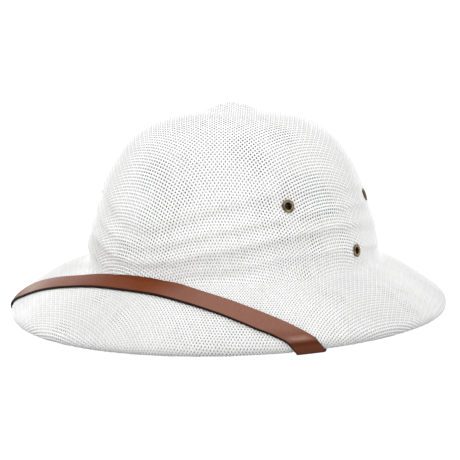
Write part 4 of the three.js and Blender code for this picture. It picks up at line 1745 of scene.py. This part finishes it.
@dataclass
class Studio:
    """A plain pale floor, soft light from all sides and the camera at the photograph's angle."""

    turn: float = 34.3232
    rise: float = 8.8329
    roll: float = -0.2593
    aside: float = -1.588
    height: float = 56.053
    distance: float = 1084.2
    scale: float = 1.40701
    pixels: int = 460
    white: float = 1.05
    floor_glow: float = 0.9
    # The floor's dim glow under the helmet is a painted shadow that keeps its inside dark.
    painted_shadow_glow: float = 0.04
    oval: tuple = (0.14, 0.16)

    def camera(self) -> None:
        """Set the camera at the photograph's angle, with a little roll and no shift."""
        turn, rise, roll = (math.radians(a) for a in (self.turn, self.rise, self.roll))
        right = Vector((math.cos(turn), math.sin(turn), 0.0))
        back = Vector((math.sin(turn) * math.cos(rise), -math.cos(turn) * math.cos(rise), math.sin(rise)))
        up = back.cross(right)
        eye = (right * self.aside + Vector((0, 0, self.height)) + back * self.distance) * MM
        x = right * math.cos(roll) + up * math.sin(roll)
        y = up * math.cos(roll) - right * math.sin(roll)
        made = bpy.data.objects.new("camera", bpy.data.cameras.new("camera"))
        made.matrix_world = Matrix.Translation(eye) @ Matrix((x, y, back)).transposed().to_4x4()
        made.data.sensor_width = 36.0
        made.data.lens = 36.0 * self.scale * self.distance / self.pixels
        made.data.clip_start, made.data.clip_end = 0.05, 50.0
        bpy.context.scene.collection.objects.link(made)
        bpy.context.scene.camera = made

    def light(self, name: str, towards: tuple, softness: float, strength: float) -> None:
        """Shine a broad soft light on the whole scene from one direction.

        Args:
            name: The light's name.
            towards: The direction in which the light lies.
            softness: The angle that the light fills, in degrees.
            strength: Its strength.
        """
        lamp = bpy.data.lights.new(name, "SUN")
        lamp.angle, lamp.energy = math.radians(softness), strength
        made = bpy.data.objects.new(name, lamp)
        made.rotation_euler = Vector(towards).to_track_quat("Z", "Y").to_euler()
        bpy.context.scene.collection.objects.link(made)

    def floor(self) -> None:
        """Lay the floor, which glows all round the helmet but not under it and is clear from below; the dim
        oval under the helmet is a painted shadow.
        """
        sides, reach = 64, 3000.0
        angles = np.arange(sides) * FULL_TURN / sides
        points = np.stack([reach * np.cos(angles), reach * np.sin(angles), np.full(sides, -0.1)], axis=-1)
        floor = mesh_object("floor", points, [], [tuple(range(sides))])
        material, sheet, shader = new_material("pale_floor")
        seen = sheet.node("ShaderNodeLightPath").outputs["Is Camera Ray"]
        inputs = {0: sheet.here(), 1: (1 / self.oval[0], 1 / self.oval[1], 0.0)}
        apart = sheet.node("ShaderNodeVectorMath", inputs, operation="MULTIPLY").outputs[0]
        apart = sheet.node("ShaderNodeVectorMath", {0: apart}, operation="LENGTH").outputs["Value"]
        # Under the helmet the glow drops low, a painted shadow.
        lit = sheet.spread(apart, 0.98, 1.12, self.painted_shadow_glow, self.floor_glow)
        lit = sheet.product(lit, sheet.rest(1.0, seen))
        plain = sheet.product(seen, sheet.spread(apart, 0.88, 0.98, self.painted_shadow_glow, self.white))
        inputs = {
            "Base Color": (0.05, 0.05, 0.05, 1.0),
            "Emission Color": (1.0, 1.0, 1.0, 1.0),
            "Emission Strength": sheet.sum(lit, plain),
        }
        sheet.feed(shader, inputs)
        below = sheet.node("ShaderNodeNewGeometry").outputs["Backfacing"]
        clear = sheet.node("ShaderNodeBsdfTransparent").outputs[0]
        both = sheet.node("ShaderNodeMixShader", {0: below, 1: shader.outputs[0], 2: clear}).outputs[0]
        output = next(n for n in sheet.tree.nodes if n.type == "OUTPUT_MATERIAL")
        sheet.feed(output, {"Surface": both})
        floor.data.materials.append(material)

    def build(self) -> None:
        """Set the camera, lay the floor and hang the lights."""
        self.camera()
        self.floor()
        self.light("overhead", (0.05, -0.3, 1.0), 130.0, 1.1)
        self.light("left", (-0.8, -0.6, 0.4), 90.0, 0.35)
        world = bpy.data.worlds.new("studio_air")
        world.use_nodes = True
        world.node_tree.nodes.clear()
        sheet = NodeSheet(world.node_tree)
        inputs = {"Color": (1.0, 1.0, 1.0, 1.0), "Strength": self.white}
        air = sheet.node("ShaderNodeBackground", inputs).outputs[0]
        sheet.node("ShaderNodeOutputWorld", {"Surface": air})
        bpy.context.scene.world = world
        bpy.context.scene.view_settings.view_transform = "Standard"


def ride(piece: bpy.types.Object, slot: Slot, nodes: Sequence[str]) -> None:
    """Fix a piece to the helmet's body.

    Args:
        piece: The piece.
        slot: The material slot that its finish is; it is only logged.
        nodes: The solids that it replaces.
    """
    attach(piece, BODY)
    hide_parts(*nodes)
    log.info("%s: %d faces, %s", piece.name, len(piece.data.polygons), slot.value)


def main() -> None:
    """Build the helmet piece by piece, then the studio."""
    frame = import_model()
    form = HelmetForm()
    net = ClothNet(form)
    straw = StrawFinish()
    for piece in WovenCloth(form, net).build(straw.strands()):
        ride(piece, Slot.STRAW, ("helmet_shell",))
    ride(UnderLayer(form, net).build(straw), Slot.STRAW, ("helmet_shell",))
    ride(LeatherBand(form).build(LeatherFinish().make()), Slot.LEATHER, ("front_band",))
    eyelets = [name for name in frame["nodes"] if name.startswith("eyelet_")]
    ride(VentEyelets(form).build(BrassFinish().make()), Slot.BRASS, eyelets)
    Studio().build()


if __name__ == "__main__":
    main()
